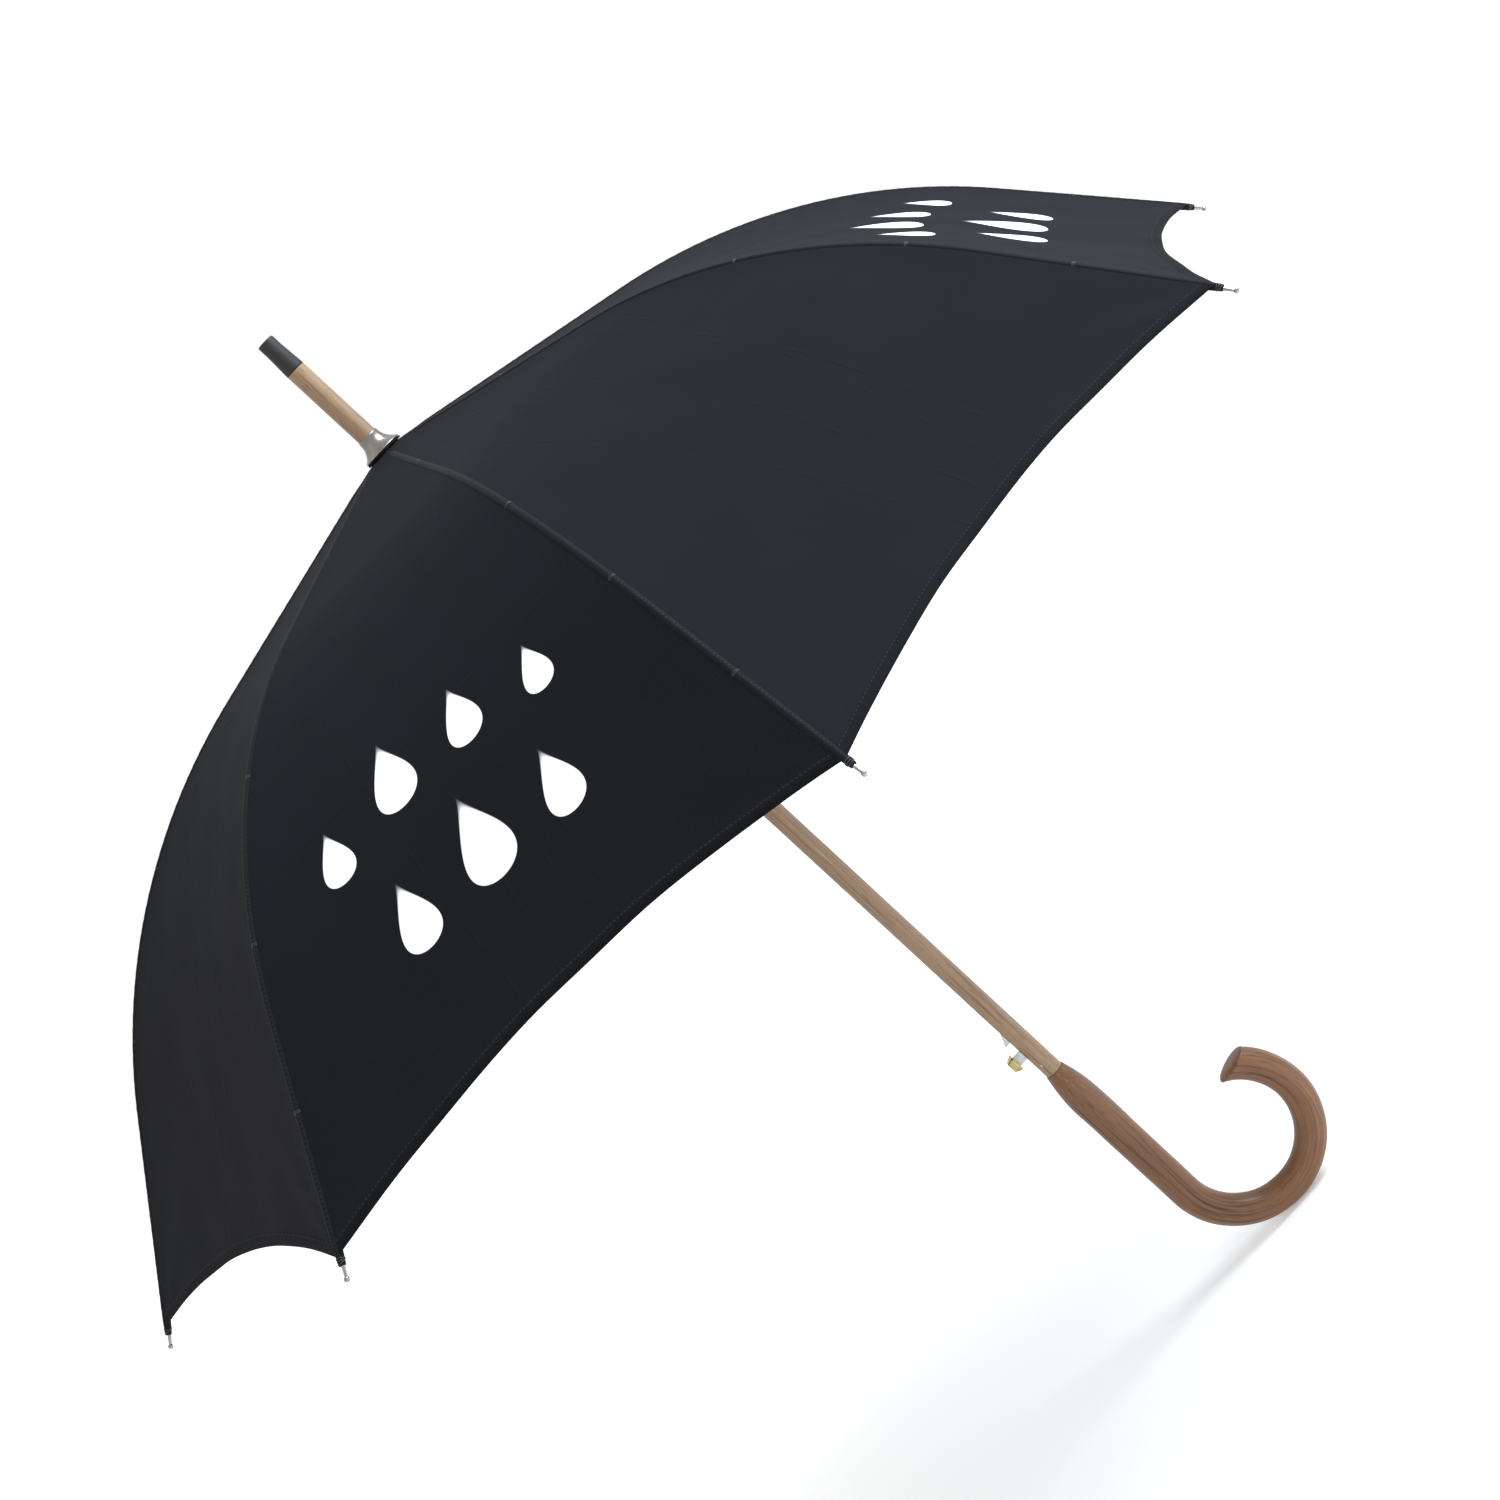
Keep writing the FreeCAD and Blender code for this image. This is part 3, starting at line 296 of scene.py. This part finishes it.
WOOD_SHAFT = wood(
    "wood_shaft", None, (0.50, 0.35, 0.22), (0.32, 0.205, 0.122), (0.140, 0.076, 0.038), 0.42
)
WOOD_HANDLE = wood(
    "wood_handle", "grain", (0.33, 0.168, 0.082), (0.185, 0.085, 0.040), (0.060, 0.024, 0.010), 0.42
)
NICKEL = metal("nickel", (0.27, 0.25, 0.23), 0.30, 500, 0.12)
CHROME = metal("chrome", (0.36, 0.36, 0.37), 0.16, 900, 0.07)
STEEL = metal("spring_steel", (0.42, 0.42, 0.42), 0.34, 900, 0.12)
CATCH_STEEL = metal("catch_steel", (0.50, 0.50, 0.49), 0.40, 700, 0.12)
BRASS = metal("brass", (0.50, 0.38, 0.15), 0.24, 800, 0.08)
BLACK_CAP = moulded("black_cap", (0.005, 0.005, 0.005), 0.60)
BLACK_HUB = moulded("black_hub", (0.016, 0.016, 0.017), 0.48)
BLACK_ENAMEL = moulded("black_enamel", (0.018, 0.018, 0.019), 0.30)
BLACK = (0.0060, 0.0061, 0.0074)
LIGHTER = (0.0100, 0.0104, 0.0128)
PONGEE = cloth("black_pongee", BLACK, LIGHTER)
PRINTED = cloth("black_pongee_printed", BLACK, LIGHTER, printed=True)
SEAM = seam_cloth("black_seam", (0.0065, 0.0065, 0.0075))

NODE_SURFACES = {
    "wood_shaft": WOOD_SHAFT,
    "wood_handle": WOOD_HANDLE,
    "black_plastic": BLACK_CAP,
    "nickel": NICKEL,
    "black_cloth": PONGEE,
    "black_ribs": BLACK_ENAMEL,
    "chrome_tips": CHROME,
    "spring_steel": STEEL,
    "catch_steel": CATCH_STEEL,
    "brass_button": BRASS,
    "hub_plastic": BLACK_HUB,
}
for entry in frame["record"]["subparts"]:
    node = frame["nodes"][entry["node"]]
    node.data.materials.clear()
    node.data.materials.append(NODE_SURFACES[entry["material_slot"]].material)


# ---------------------------------------------------------------- mesh helpers


def piece(name, points, faces, surface, body, slot, smooth=True, **attributes):
    """Adds a mesh that rides on a body. Extra arguments are vector attributes, one row for each point."""
    mesh = bpy.data.meshes.new(name)
    mesh.from_pydata([tuple(p) for p in np.asarray(points, float)], [], faces)
    for attribute, values in attributes.items():
        stored = mesh.attributes.new(attribute, "FLOAT_VECTOR", "POINT")
        stored.data.foreach_set("vector", np.asarray(values, np.float32).ravel())
    mesh.materials.append(surface.material)
    mesh.polygons.foreach_set("use_smooth", [smooth] * len(mesh.polygons))
    mesh.update()
    made = bpy.data.objects.new(name, mesh)
    bpy.context.collection.objects.link(made)
    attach(made, body)
    return made


def grid_faces(rows, columns, around=False, flip=False):
    """Quads of a grid of points in row order, closed round the columns if asked."""
    faces = []
    for i in range(rows - 1):
        for j in range(columns if around else columns - 1):
            following = (j + 1) % columns
            here, below = i * columns, (i + 1) * columns
            face = (here + j, here + following, below + following, below + j)
            faces.append(face[::-1] if flip else face)
    return faces


def rounded(profile, radii, steps=5):
    """A profile whose corners are rounded off by the given radii."""
    points = [Vector(p) for p in profile]
    made = []
    for i, point in enumerate(points):
        radius = radii.get(i, 0)
        if not radius:
            made.append(point)
            continue
        before = (points[i - 1] - point).normalized() * radius
        after = (points[i + 1] - point).normalized() * radius
        for k in range(steps + 1):
            t = k / steps
            made.append(point + before * (1 - t) ** 2 + after * t**2)
    return [tuple(p) for p in made]


def lathe(name, profile, surface, body, slot, segments=72, change=None):
    """Turns a profile of (radius, height) about the shaft's axis."""
    points = []
    for radius, height in profile:
        for j in range(segments):
            angle = 2 * math.pi * j / segments
            r, z = (radius, height) if change is None else change(radius, height, angle)
            points.append((r * math.cos(angle), r * math.sin(angle), z))
    faces = grid_faces(len(profile), segments, around=True, flip=True)
    made = piece(name, points, faces, surface, body, slot)
    return made


# ---------------------------------------------------------------- ribs' line and the canopy's surface


def rib_line(s):
    """Radius, height and slope of the cloth's outer face over a rib, at a distance from its start."""
    s = np.asarray(s, float)
    turn = np.clip((s - STRAIGHT) / BEND, 0, BEND_ANGLE)
    slope = SLOPE + turn
    before = np.minimum(s, STRAIGHT)
    beyond = np.maximum(s - BEND_END, 0)
    r = CLOTH_START + before * math.cos(SLOPE) + BEND * (np.sin(slope) - math.sin(SLOPE))
    r = r + beyond * np.cos(slope)
    z = -before * math.sin(SLOPE) - BEND * (math.cos(SLOPE) - np.cos(slope)) - beyond * np.sin(slope)
    return r, CROWN + z, slope


def rib_angle(k):
    return FIRST_RIB + 2 * HALF_GORE * (k - 1)


def turned(points, angle):
    """Turns points that were made in the first rib's plane, X outwards, to a rib's direction."""
    c, s = math.cos(angle), math.sin(angle)
    x, y, z = points[..., 0], points[..., 1], points[..., 2]
    return np.stack([x * c - y * s, x * s + y * c, z], axis=-1)


def ripple(gore, side, s, half, hem):
    """How far the cloth stands off a flat panel: slack in the middle, soft waves and pulls from the tips."""
    share = np.clip(1 - (side / np.maximum(half, 1e-6)) ** 2, 0, 1)
    full = np.clip(s / 0.30, 0, 1) ** 1.5
    sag = -0.0042 * share * full
    phase = 1.7 * gore
    waves = 0.0003 * np.sin(side * 46 + s * 12 + phase) * np.sin(s * 31 - side * 9 + 2.3 * phase)
    waves += 0.00015 * np.sin(side * 95 - s * 40 + 3.1 * phase)
    flutter = 0.0008 * np.sin(side * 55 + phase) * np.exp(-hem / 0.045)
    pulls = 0
    for sign in (-1, 1):
        away = np.maximum(half + sign * side, 0)
        down = np.maximum(hem, 0)
        reach = np.hypot(away, down)
        fan = np.sin(7.5 * np.arctan2(down, away + 1e-4) + sign + phase)
        pulls = pulls + 0.0011 * fan * np.exp(-reach / 0.055)
    return sag + share * (full * waves + flutter) + np.sqrt(share) * pulls * full


def canopy_grid(k, side_sign):
    """Half a gore beside rib k: points, cloth coordinates and gore coordinates, by row and column."""
    edge = np.concatenate([np.array([0, 0.006, 0.014, 0.026]), np.linspace(0.042, 1, 25)])
    share = np.linspace(0, 1, 156)
    rows = [(a, -(HEM_WIDTH + 0.001) * a, 0.0) for a in share]
    rows += [(1, -HEM_WIDTH, 0), (1, -HEM_WIDTH + 0.0005, 0.00035)]
    rows += [(1, -0.004, 0.00035), (1, -0.0006, 0.0003)]
    rows += [(1, 0, -0.0001), (1, -0.0004, -0.0007), (1, -0.004, -0.0008), (1, -HEM_WIDTH + 0.001, -0.0007)]
    scale, shift, fold = (np.array(column, float)[:, None] for column in zip(*rows))
    end = CLOTH_END - HEM_RISE * (1 - (1 - edge[None, :]) ** 2)
    s = scale * end + shift
    hem = end - s
    r, z, slope = rib_line(s)
    half = r * math.sin(HALF_GORE)
    reach = edge[None, :] * half
    gore = k if side_sign > 0 else (k - 2) % RIBS + 1
    side = -side_sign * (half - reach)
    x = r - reach * math.sin(HALF_GORE)
    y = side_sign * reach * math.cos(HALF_GORE)
    steep = np.tan(slope) / math.cos(HALF_GORE)
    flat = 1 / np.sqrt(1 + steep**2)
    normal = np.stack(
        [steep * flat * math.cos(HALF_GORE), side_sign * steep * flat * math.sin(HALF_GORE), flat], axis=-1
    )
    lift = ripple(gore, side, s, half, hem)
    lift = lift + fold * np.clip(edge[None, :] / 0.02, 0.15, 1)
    points = np.stack([x, y, z], axis=-1) + normal * lift[..., None]
    ones = np.ones_like(s)
    cloth_at = np.stack([reach * side_sign, s, hem * ones], axis=-1)
    gore_at = np.stack([side, s, gore * ones], axis=-1)
    return points, cloth_at, gore_at, share.size, gore


def canopy():
    """The cloth: one continuous surface at rest, cut into strips down each rib, each strip riding on its rib's
    body.
    """
    for k in range(1, RIBS + 1):
        for side_sign in (1, -1):
            points, cloth_at, gore_at, uniform, gore = canopy_grid(k, side_sign)
            rows, columns = points.shape[:2]
            edges = [round(z / CLOTH_END * (uniform - 1)) for z in ZONES]
            edges[-1] = rows - 1
            for number, (first, last) in enumerate(zip(edges, edges[1:]), start=1):
                part = slice(first, last + 1)
                count = last - first + 1
                side_name = "left" if side_sign > 0 else "right"
                made = piece(
                    f"canopy_{k}_{side_name}_{number}",
                    turned(points[part], rib_angle(k)).reshape(-1, 3),
                    grid_faces(count, columns, flip=side_sign > 0),
                    PRINTED if gore in PRINTED_GORES else PONGEE,
                    f"rib_{k}",
                    "black_cloth",
                    cloth=cloth_at[part].reshape(-1, 3),
                    gore=gore_at[part].reshape(-1, 3),
                )
                thick = made.modifiers.new("Thickness", "SOLIDIFY")
                thick.thickness = CLOTH
                thick.offset = -1
                thick.use_rim = False
                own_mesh(made)
        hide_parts(f"canopy_panel_{k}")


def rib_seams(trims):
    """The sewn ridge over each rib."""
    profile = [(-2.5, 0.0), (-2.1, 0.55), (-1.4, 0.78), (-0.5, 0.84), (0.3, 0.84), (0.9, 0.74), (1.2, 0.50)]
    profile += [(1.5, 0.62), (2.0, 0.50), (2.4, 0.0)]
    across = np.array([q for q, _ in profile]) / 1000
    height = np.array([h for _, h in profile]) / 1000
    s = np.arange(0.0035, CLOTH_END - 0.001, 0.0014)
    r, z, slope = rib_line(s)
    narrow = np.clip((s - 0.0035) / 0.02, 0.35, 1) * np.clip((CLOTH_END - s) / 0.012, 0.55, 1)
    for k in range(1, RIBS + 1):
        pucker = 1 + 0.10 * np.sin(s * 1020 + k) * np.sin(s * 371 + 2 * k)
        q = across[None, :] * narrow[:, None]
        h = height[None, :] * (narrow * pucker)[:, None] - 0.00015
        x = r[:, None] - np.abs(q) * math.sin(HALF_GORE) + h * np.sin(slope)[:, None]
        y = q * math.cos(HALF_GORE)
        up = z[:, None] + h * np.cos(slope)[:, None]
        points = turned(np.stack([x, y, up], axis=-1), rib_angle(k)).reshape(-1, 3)
        at = np.stack([q, s[:, None] + 0 * q, 0 * q], axis=-1).reshape(-1, 3)
        faces = grid_faces(s.size, across.size)
        trims[k].append(piece(f"seam_{k}", points, faces, SEAM, f"rib_{k}", "black_cloth", cloth=at))


def tube_along(name, spine, radii, surface, body, slot, segments=20, squash=1.0):
    """A closed tube along points in a plane through the shaft's axis, given as (x, y, z)."""
    spine = np.asarray(spine, float)
    tangent = np.gradient(spine, axis=0)
    tangent /= np.linalg.norm(tangent, axis=1)[:, None]
    sideways = np.cross(tangent[0], (0, 0, 1.0) if abs(tangent[0][2]) < 0.9 else (1.0, 0, 0))
    sideways /= np.linalg.norm(sideways)
    points = []
    for p, t, radius in zip(spine, tangent, radii):
        b = np.cross(t, sideways)
        b /= np.linalg.norm(b)
        a = np.cross(b, t)
        for j in range(segments):
            angle = 2 * math.pi * j / segments
            points.append(p + radius * (math.cos(angle) * a + squash * math.sin(angle) * b))
    faces = grid_faces(len(spine), segments, around=True)
    faces.append(tuple(reversed(range(segments))))
    faces.append(tuple(range(len(points) - segments, len(points))))
    return piece(name, points, faces, surface, body, slot)


def tip_pockets(trims):
    """The corner of the cloth, folded and sewn round each rib tip, with its thread."""
    for k in range(1, RIBS + 1):
        s = np.linspace(CLOTH_END - 0.016, CLOTH_END + 0.0045, 12)
        r, z, slope = rib_line(s)
        depth = 0.0020
        x, up = r - depth * np.sin(slope), z - depth * np.cos(slope)
        spine = turned(np.stack([x, 0 * x, up], axis=-1), rib_angle(k))
        radii = [0.0008, 0.0018, 0.0023, 0.0025, 0.0026, 0.0026]
        radii += [0.00255, 0.0025, 0.0024, 0.0023, 0.0022, 0.0020]
        pocket = tube_along(f"tip_pocket_{k}", spine, radii, SEAM, f"rib_{k}", "black_cloth")
        store = pocket.data.attributes.new("cloth", "FLOAT_VECTOR", "POINT")
        count = len(pocket.data.vertices)
        at = np.array([(0.004 + 0.002 * math.sin(i), i * 0.00006, 0) for i in range(count)])
        store.data.foreach_set("vector", at.astype(np.float32).ravel())
        trims[k].append(pocket)
        for turn in range(3):
            place = CLOTH_END + 0.0008 + turn * 0.0009
            trims[k].append(thread_ring(f"tip_thread_{k}_{turn + 1}", k, place, depth, 0.0024, turn * 0.3))


def thread_ring(name, k, s, depth, radius, tilt=0.0):
    """A turn of black thread round a rib or its tip."""
    r, z, slope = (float(v) for v in rib_line(s))
    centre = np.array([r - depth * math.sin(slope), 0.0, z - depth * math.cos(slope)])
    along = np.array([math.cos(slope + tilt), 0.0, -math.sin(slope + tilt)])
    outward = np.array([math.sin(slope + tilt), 0.0, math.cos(slope + tilt)])
    side = np.array([0.0, 1.0, 0.0])
    points = []
    for i in range(24):
        a = 2 * math.pi * i / 24
        radial = math.cos(a) * outward + math.sin(a) * side
        for j in range(6):
            b = 2 * math.pi * j / 6
            points.append(centre + radius * radial + 0.00028 * (math.cos(b) * radial + math.sin(b) * along))
    faces = []
    for i in range(24):
        for j in range(6):
            here, ahead, beside = i * 6, (i + 1) % 24 * 6, (j + 1) % 6
            faces.append((here + j, ahead + j, ahead + beside, here + beside))
    return piece(name, turned(np.array(points), rib_angle(k)), faces, BLACK_HUB, f"rib_{k}", "black_cloth")


def rib_ties(trims):
    """Thread that ties the seam to the rib underneath."""
    for k in range(1, RIBS + 1):
        for number, s in enumerate((0.10, 0.29, 0.40, 0.50), start=1):
            for turn in (0, 1):
                name = f"rib_tie_{k}_{number}_{turn + 1}"
                trims[k].append(thread_ring(name, k, s + turn * 0.0008, 0.0020, 0.0026, 0.12 * turn))


# ---------------------------------------------------------------- handle, metal and trim


def handle():
    """The handle: a flared neck, a slightly uneven hand-finished grip and the crook with its rounded end."""
    bend, drop, sweep, slant = 0.0515, -0.049, math.radians(228), math.radians(35)
    neck = [(0.078, 0.00705), (0.078, 0.00735), (0.0775, 0.00755)]
    chord = np.linspace(0.0765, 0.045, 14)
    for z in chord:
        share = (0.078 - z) / 0.033
        neck.append((z, 0.0074 + 0.0045 * (1 - (1 - share) ** 1.9)))
    for z in np.linspace(0.041, -0.049, 24):
        neck.append((z, 0.0119 - 0.0005 * (0.045 - z) / 0.094))
    spine = [(0.0, z) for z, _ in neck]
    radii = [r for _, r in neck]
    tangents = [(0.0, -1.0)] * len(neck)
    for phi in np.linspace(0, sweep, 92)[1:]:
        a = math.pi + phi
        spine.append((bend + bend * math.cos(a), drop + bend * math.sin(a)))
        tangents.append((-math.sin(a), math.cos(a)))
        radii.append(0.0114)
    length = np.concatenate([[0], np.cumsum(np.hypot(*np.diff(np.array(spine), axis=0).T))])
    segments = 56
    points, grain = [], []
    for (x, z), (tx, tz), radius, run in zip(spine, tangents, radii, length):
        leant = min(max((run - length[-1] + 0.030) / 0.030, 0), 1) ** 1.5
        for j in range(segments):
            a = 2 * math.pi * j / segments
            calm = min(run / 0.05, 1) * min((length[-1] - run) / 0.02 + 0.05, 1)
            uneven = math.sin(run * 88 + 2.1 * math.sin(a)) * math.sin(run * 37 + 1.3 * math.cos(a) + 1.0)
            uneven += 0.6 * math.sin(run * 171 + 3 * a) * math.sin(2 * a + run * 23)
            size = radius * (1 + 0.013 * calm * uneven) - 0.0001 * calm
            nx, nz = -tz, tx
            inward = size * math.cos(a)
            px, pz, extra = x + inward * nx, z + inward * nz, 0.0
            if leant > 0:
                inner = bend - inward
                for _ in range(12):
                    extra = math.asin(math.tan(slant) * (bend - inner * math.cos(extra)) / inner)
                extra *= leant
                dx, dz = px - bend, pz - drop
                px = bend + dx * math.cos(extra) - dz * math.sin(extra)
                pz = drop + dx * math.sin(extra) + dz * math.cos(extra)
            points.append((px, size * math.sin(a), pz))
            grain.append((radius * math.cos(a), radius * math.sin(a), run + bend * extra))
    last = np.array(points[-segments:])
    middle = last.mean(axis=0)
    (tx, tz), rings = tangents[-1], 8
    lengthwise, upright = math.cos(slant), math.sin(slant)
    out = np.array([tx * lengthwise + tz * upright, 0, tz * lengthwise - tx * upright])
    for t in np.linspace(0, 1, rings + 1)[1:]:
        angle = t * math.pi / 2
        ring = middle + (last - middle) * max(math.cos(angle), 0) ** 0.55
        ring = ring + out * 0.003 * math.sin(angle) ** 0.9
        points += [tuple(p) for p in ring]
        width = 0.0114 * max(math.cos(angle), 0) ** 0.55
        for j in range(segments):
            a = 2 * math.pi * j / segments
            grain.append((width * math.cos(a), width * math.sin(a), length[-1]))
    faces = grid_faces(len(spine) + rings, segments, around=True, flip=True)
    made = piece("handle", points, faces, WOOD_HANDLE, "stick", "wood_handle", grain=grain)
    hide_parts("crook_handle")


def bell_cup():
    """The flared metal cup: a rolled rim, a drawn neck and one small punch mark."""
    rim, top = CROWN + 0.0015, CROWN + 0.0153
    outer = []
    for t in np.linspace(0, 1, 26):
        radius = 0.0077 + (0.0142 - 0.0077) * (1 - t) ** 2.3
        outer.append((radius, rim + 0.0010 + (top - rim - 0.0022) * t))
    profile = [(0.0126, rim + 0.0003), (0.0136, rim), (0.0142, rim + 0.0003)] + outer
    profile += [(0.0077, top - 0.0006), (0.0075, top - 0.0001), (0.00725, top), (0.00706, top - 0.0003)]

    def dent(radius, height, angle):
        away = math.hypot((angle - math.radians(262)) * 0.009, height - (CROWN + 0.0085))
        return radius - 0.0006 * math.exp(-((away / 0.0009) ** 2)), height

    made = lathe("bell_cup_drawn", profile, NICKEL, "stick", "nickel", 144, dent)
    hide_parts("bell_cup")


def crown_washer():
    """A disc of doubled cloth, cut by hand, under the cup."""
    low, high = CROWN + 0.0003, CROWN + 0.0014
    profile = [(0.0072, low), (0.0128, low), (0.0139, low - 0.0001), (0.0143, (low + high) / 2)]
    profile += [(0.0140, high), (0.0128, high), (0.0072, high)]

    def uneven(radius, height, angle):
        if radius < 0.012:
            return radius, height
        return radius * (1 + 0.012 * math.sin(5 * angle + 1) + 0.008 * math.sin(13 * angle)), height

    made = lathe("crown_washer_cloth", profile, SEAM, "stick", "black_cloth", 96, uneven)
    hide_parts("crown_washer")


def ferrule_cap():
    """The black end cap: a slight taper, rounded at its end."""
    base, top = CROWN + 0.0764, CROWN + 0.1026
    profile = [(0.0065, base + 0.0001), (0.0070, base + 0.0003)]
    profile += [(0.0062, top - 0.008), (0.0062, top), (0.0, top)]
    profile = rounded(profile, {3: 0.0012}, 6)
    profile.insert(2, (0.00702, base + 0.0010))
    made = lathe("ferrule_cap_moulded", profile, BLACK_CAP, "stick", "black_plastic", 64)
    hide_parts("ferrule_cap")


def coil_spring(node, body, radius, wire, turns, along_z):
    """A coil spring in place of its CAD node."""
    low, high = (np.array(corner, float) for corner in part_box(node))
    middle = (low + high) / 2
    x_axis, y_axis, z_axis = np.eye(3)
    run, first, second = (z_axis, x_axis, y_axis) if along_z else (x_axis, y_axis, z_axis)
    length = float((high - low) @ run) - 2 * wire
    start = middle - run * length / 2
    count, segments = turns * 32, 10
    points = []
    for i in range(count + 1):
        share = i / count
        a = 2 * math.pi * turns * share
        out = first * math.cos(a) + second * math.sin(a)
        centre = start + run * length * share + out * radius
        for j in range(segments):
            round_wire = 2 * math.pi * j / segments
            points.append(centre + wire * (math.cos(round_wire) * out + math.sin(round_wire) * run))
    faces = grid_faces(count + 1, segments, around=True)
    faces.append(tuple(reversed(range(segments))))
    faces.append(tuple(range(len(points) - segments, len(points))))
    made = piece(f"{node}_coil", points, faces, STEEL, body, "spring_steel")
    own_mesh(made)
    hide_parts(node)


def release_button():
    """The brass button: a bevelled square frustum with a raised rim and a dished face."""
    z, inner, outer = 0.1008, -0.0132, -0.0188
    rings = [
        (inner, 0.0050),
        (inner, 0.0054),
        (inner - 0.0014, 0.0054),
        (outer + 0.0006, 0.0040),
        (outer, 0.0037),
        (outer, 0.0030),
        (outer + 0.0007, 0.0026),
        (outer + 0.0009, 0.0010),
    ]
    points = []
    for x, half in rings:
        corner = min(0.0012, half * 0.6)
        for quarter in range(4):
            for step in range(5):
                a = quarter * math.pi / 2 + step * math.pi / 8
                sx = 1 if quarter in (0, 3) else -1
                sy = 1 if quarter in (0, 1) else -1
                y = sx * (half - corner) + corner * math.cos(a)
                up = sy * (half - corner) + corner * math.sin(a)
                points.append((x, y, z + up))
    faces = grid_faces(len(rings), 20, around=True)
    faces.append(tuple(range(20)))
    faces.append(tuple(reversed(range(len(points) - 20, len(points)))))
    made = piece("button_cap", points, faces, BRASS, "catch", "brass_button", smooth=False)
    bevel = made.modifiers.new("Edges", "BEVEL")
    bevel.width = 0.00018
    bevel.segments = 2
    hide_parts("release_button")


def closing_strap():
    """The closing strap: doubled cloth, sewn at the edges, lifting a little towards its free end."""
    k, s = 5, 0.505
    slope = float(rib_line(s)[2])
    length, width = 0.070, 0.0145
    rows = np.linspace(0.002, 0.002 + length, 60)
    across = np.array([-1, -0.97, -0.8, -0.74, -0.68, 0, 0.68, 0.74, 0.8, 0.97, 1]) * width / 2
    rise = np.array([0.0, 0.45, 0.5, 0.32, 0.5, 0.55, 0.5, 0.32, 0.5, 0.45, 0.0]) / 1000
    points, at = [], []
    for q in rows:
        share = (q - 0.002) / length
        lifted = 0.0005 + 0.0042 * max(share - 0.45, 0) ** 1.6 + 0.0004 * math.sin(share * 19)
        squeeze = math.sqrt(max(1 - max((share - 0.93) / 0.075, 0) ** 2, 0.02))
        for a, h in zip(across * squeeze, rise):
            rs, zs, _ = (float(v) for v in rib_line(s + a))
            lift = lifted + h + 0.0003
            x = rs - q * math.sin(HALF_GORE) + lift * math.sin(slope)
            points.append((x, -q * math.cos(HALF_GORE), zs + lift * math.cos(slope)))
            at.append((a, q, 0.02))
    points = turned(np.array(points), rib_angle(k))
    faces = grid_faces(60, across.size, flip=True)
    made = piece("strap", points, faces, SEAM, "rib_5", "black_cloth", cloth=at)
    thick = made.modifiers.new("Thickness", "SOLIDIFY")
    thick.thickness = 0.0007
    thick.offset = -1
    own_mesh(made)
    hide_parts("closing_strap")


trims = {k: [] for k in range(1, RIBS + 1)}
rib_seams(trims)
tip_pockets(trims)
rib_ties(trims)
canopy()
handle()
bell_cup()
crown_washer()
ferrule_cap()
release_button()
closing_strap()
coil_spring("opening_spring", "runner", 0.0089, 0.0006, 20, True)
coil_spring("catch_spring", "stick", 0.00095, 0.0002, 6, False)

# ---------------------------------------------------------------- floor, light and camera

floor_mesh = bpy.data.meshes.new("floor")
reach, floor_z = 6.0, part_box("crook_handle")[0][2] - 0.0004
floor_mesh.from_pydata(
    [(-reach, -reach, floor_z), (reach, -reach, floor_z), (reach, reach, floor_z), (-reach, reach, floor_z)],
    [],
    [(0, 1, 2, 3)],
)
floor = bpy.data.objects.new("floor", floor_mesh)
bpy.context.collection.objects.link(floor)
floor_surface = Surface("pale_floor", (0.90, 0.90, 0.90), 0.85)
speckle = floor_surface.noise(floor_surface.place(), 3, 2)
floor_surface.feed("Base Color", floor_surface.mix(speckle, (0.90, 0.90, 0.90), (0.93, 0.93, 0.93)))
floor_surface.shader.inputs["Emission Color"].default_value = (1.0, 1.0, 1.0, 1)
floor_surface.shader.inputs["Emission Strength"].default_value = 0.24
floor_surface.shader.inputs["Specular IOR Level"].default_value = 0.0
floor_mesh.materials.append(floor_surface.material)

world = bpy.data.worlds.new("studio")
world.use_nodes = True
world.node_tree.nodes["Background"].inputs["Color"].default_value = (1.0, 1.0, 1.0, 1)
world.node_tree.nodes["Background"].inputs["Strength"].default_value = 1.0
bpy.context.scene.world = world

RIGHT = Vector((0.68731, -0.11623, -0.71700))
UP = Vector((0.72636, 0.10998, 0.67846))
BACK = Vector((0.0, -0.98711, 0.16002))
CENTRE = Vector((0.0, 0.0, 0.5))


def lamp(name, right, up, back, size, power, color=(1, 1, 1)):
    """A soft square light, placed by the camera's own directions and aimed at the canopy."""
    data = bpy.data.lights.new(name, "AREA")
    data.size = size
    data.energy = power
    data.color = color
    made = bpy.data.objects.new(name, data)
    made.location = CENTRE + RIGHT * right + UP * up + BACK * back
    made.rotation_mode = "QUATERNION"
    made.rotation_quaternion = (CENTRE - made.location).to_track_quat("-Z", "Y")
    bpy.context.collection.objects.link(made)


lamp("key", 0.2, 2.2, 0.5, 1.2, 92, (0.74, 0.87, 1.0))
lamp("fill", 1.8, -0.6, 2.2, 1.6, 12, (1.0, 0.96, 0.91))

camera = bpy.data.objects.new("camera", bpy.data.cameras.new("camera"))
camera.data.sensor_width = 36
camera.data.lens = 68.19
camera.data.shift_x = -0.1290
camera.data.shift_y = -0.0598
camera.data.clip_end = 50
stand = Matrix.Translation((0.1503, -1.8650, 0.6291))
camera.matrix_world = stand @ Matrix((RIGHT, UP, BACK)).transposed().to_4x4()
bpy.context.collection.objects.link(camera)
bpy.context.scene.camera = camera
bpy.context.scene.view_settings.view_transform = "Standard"
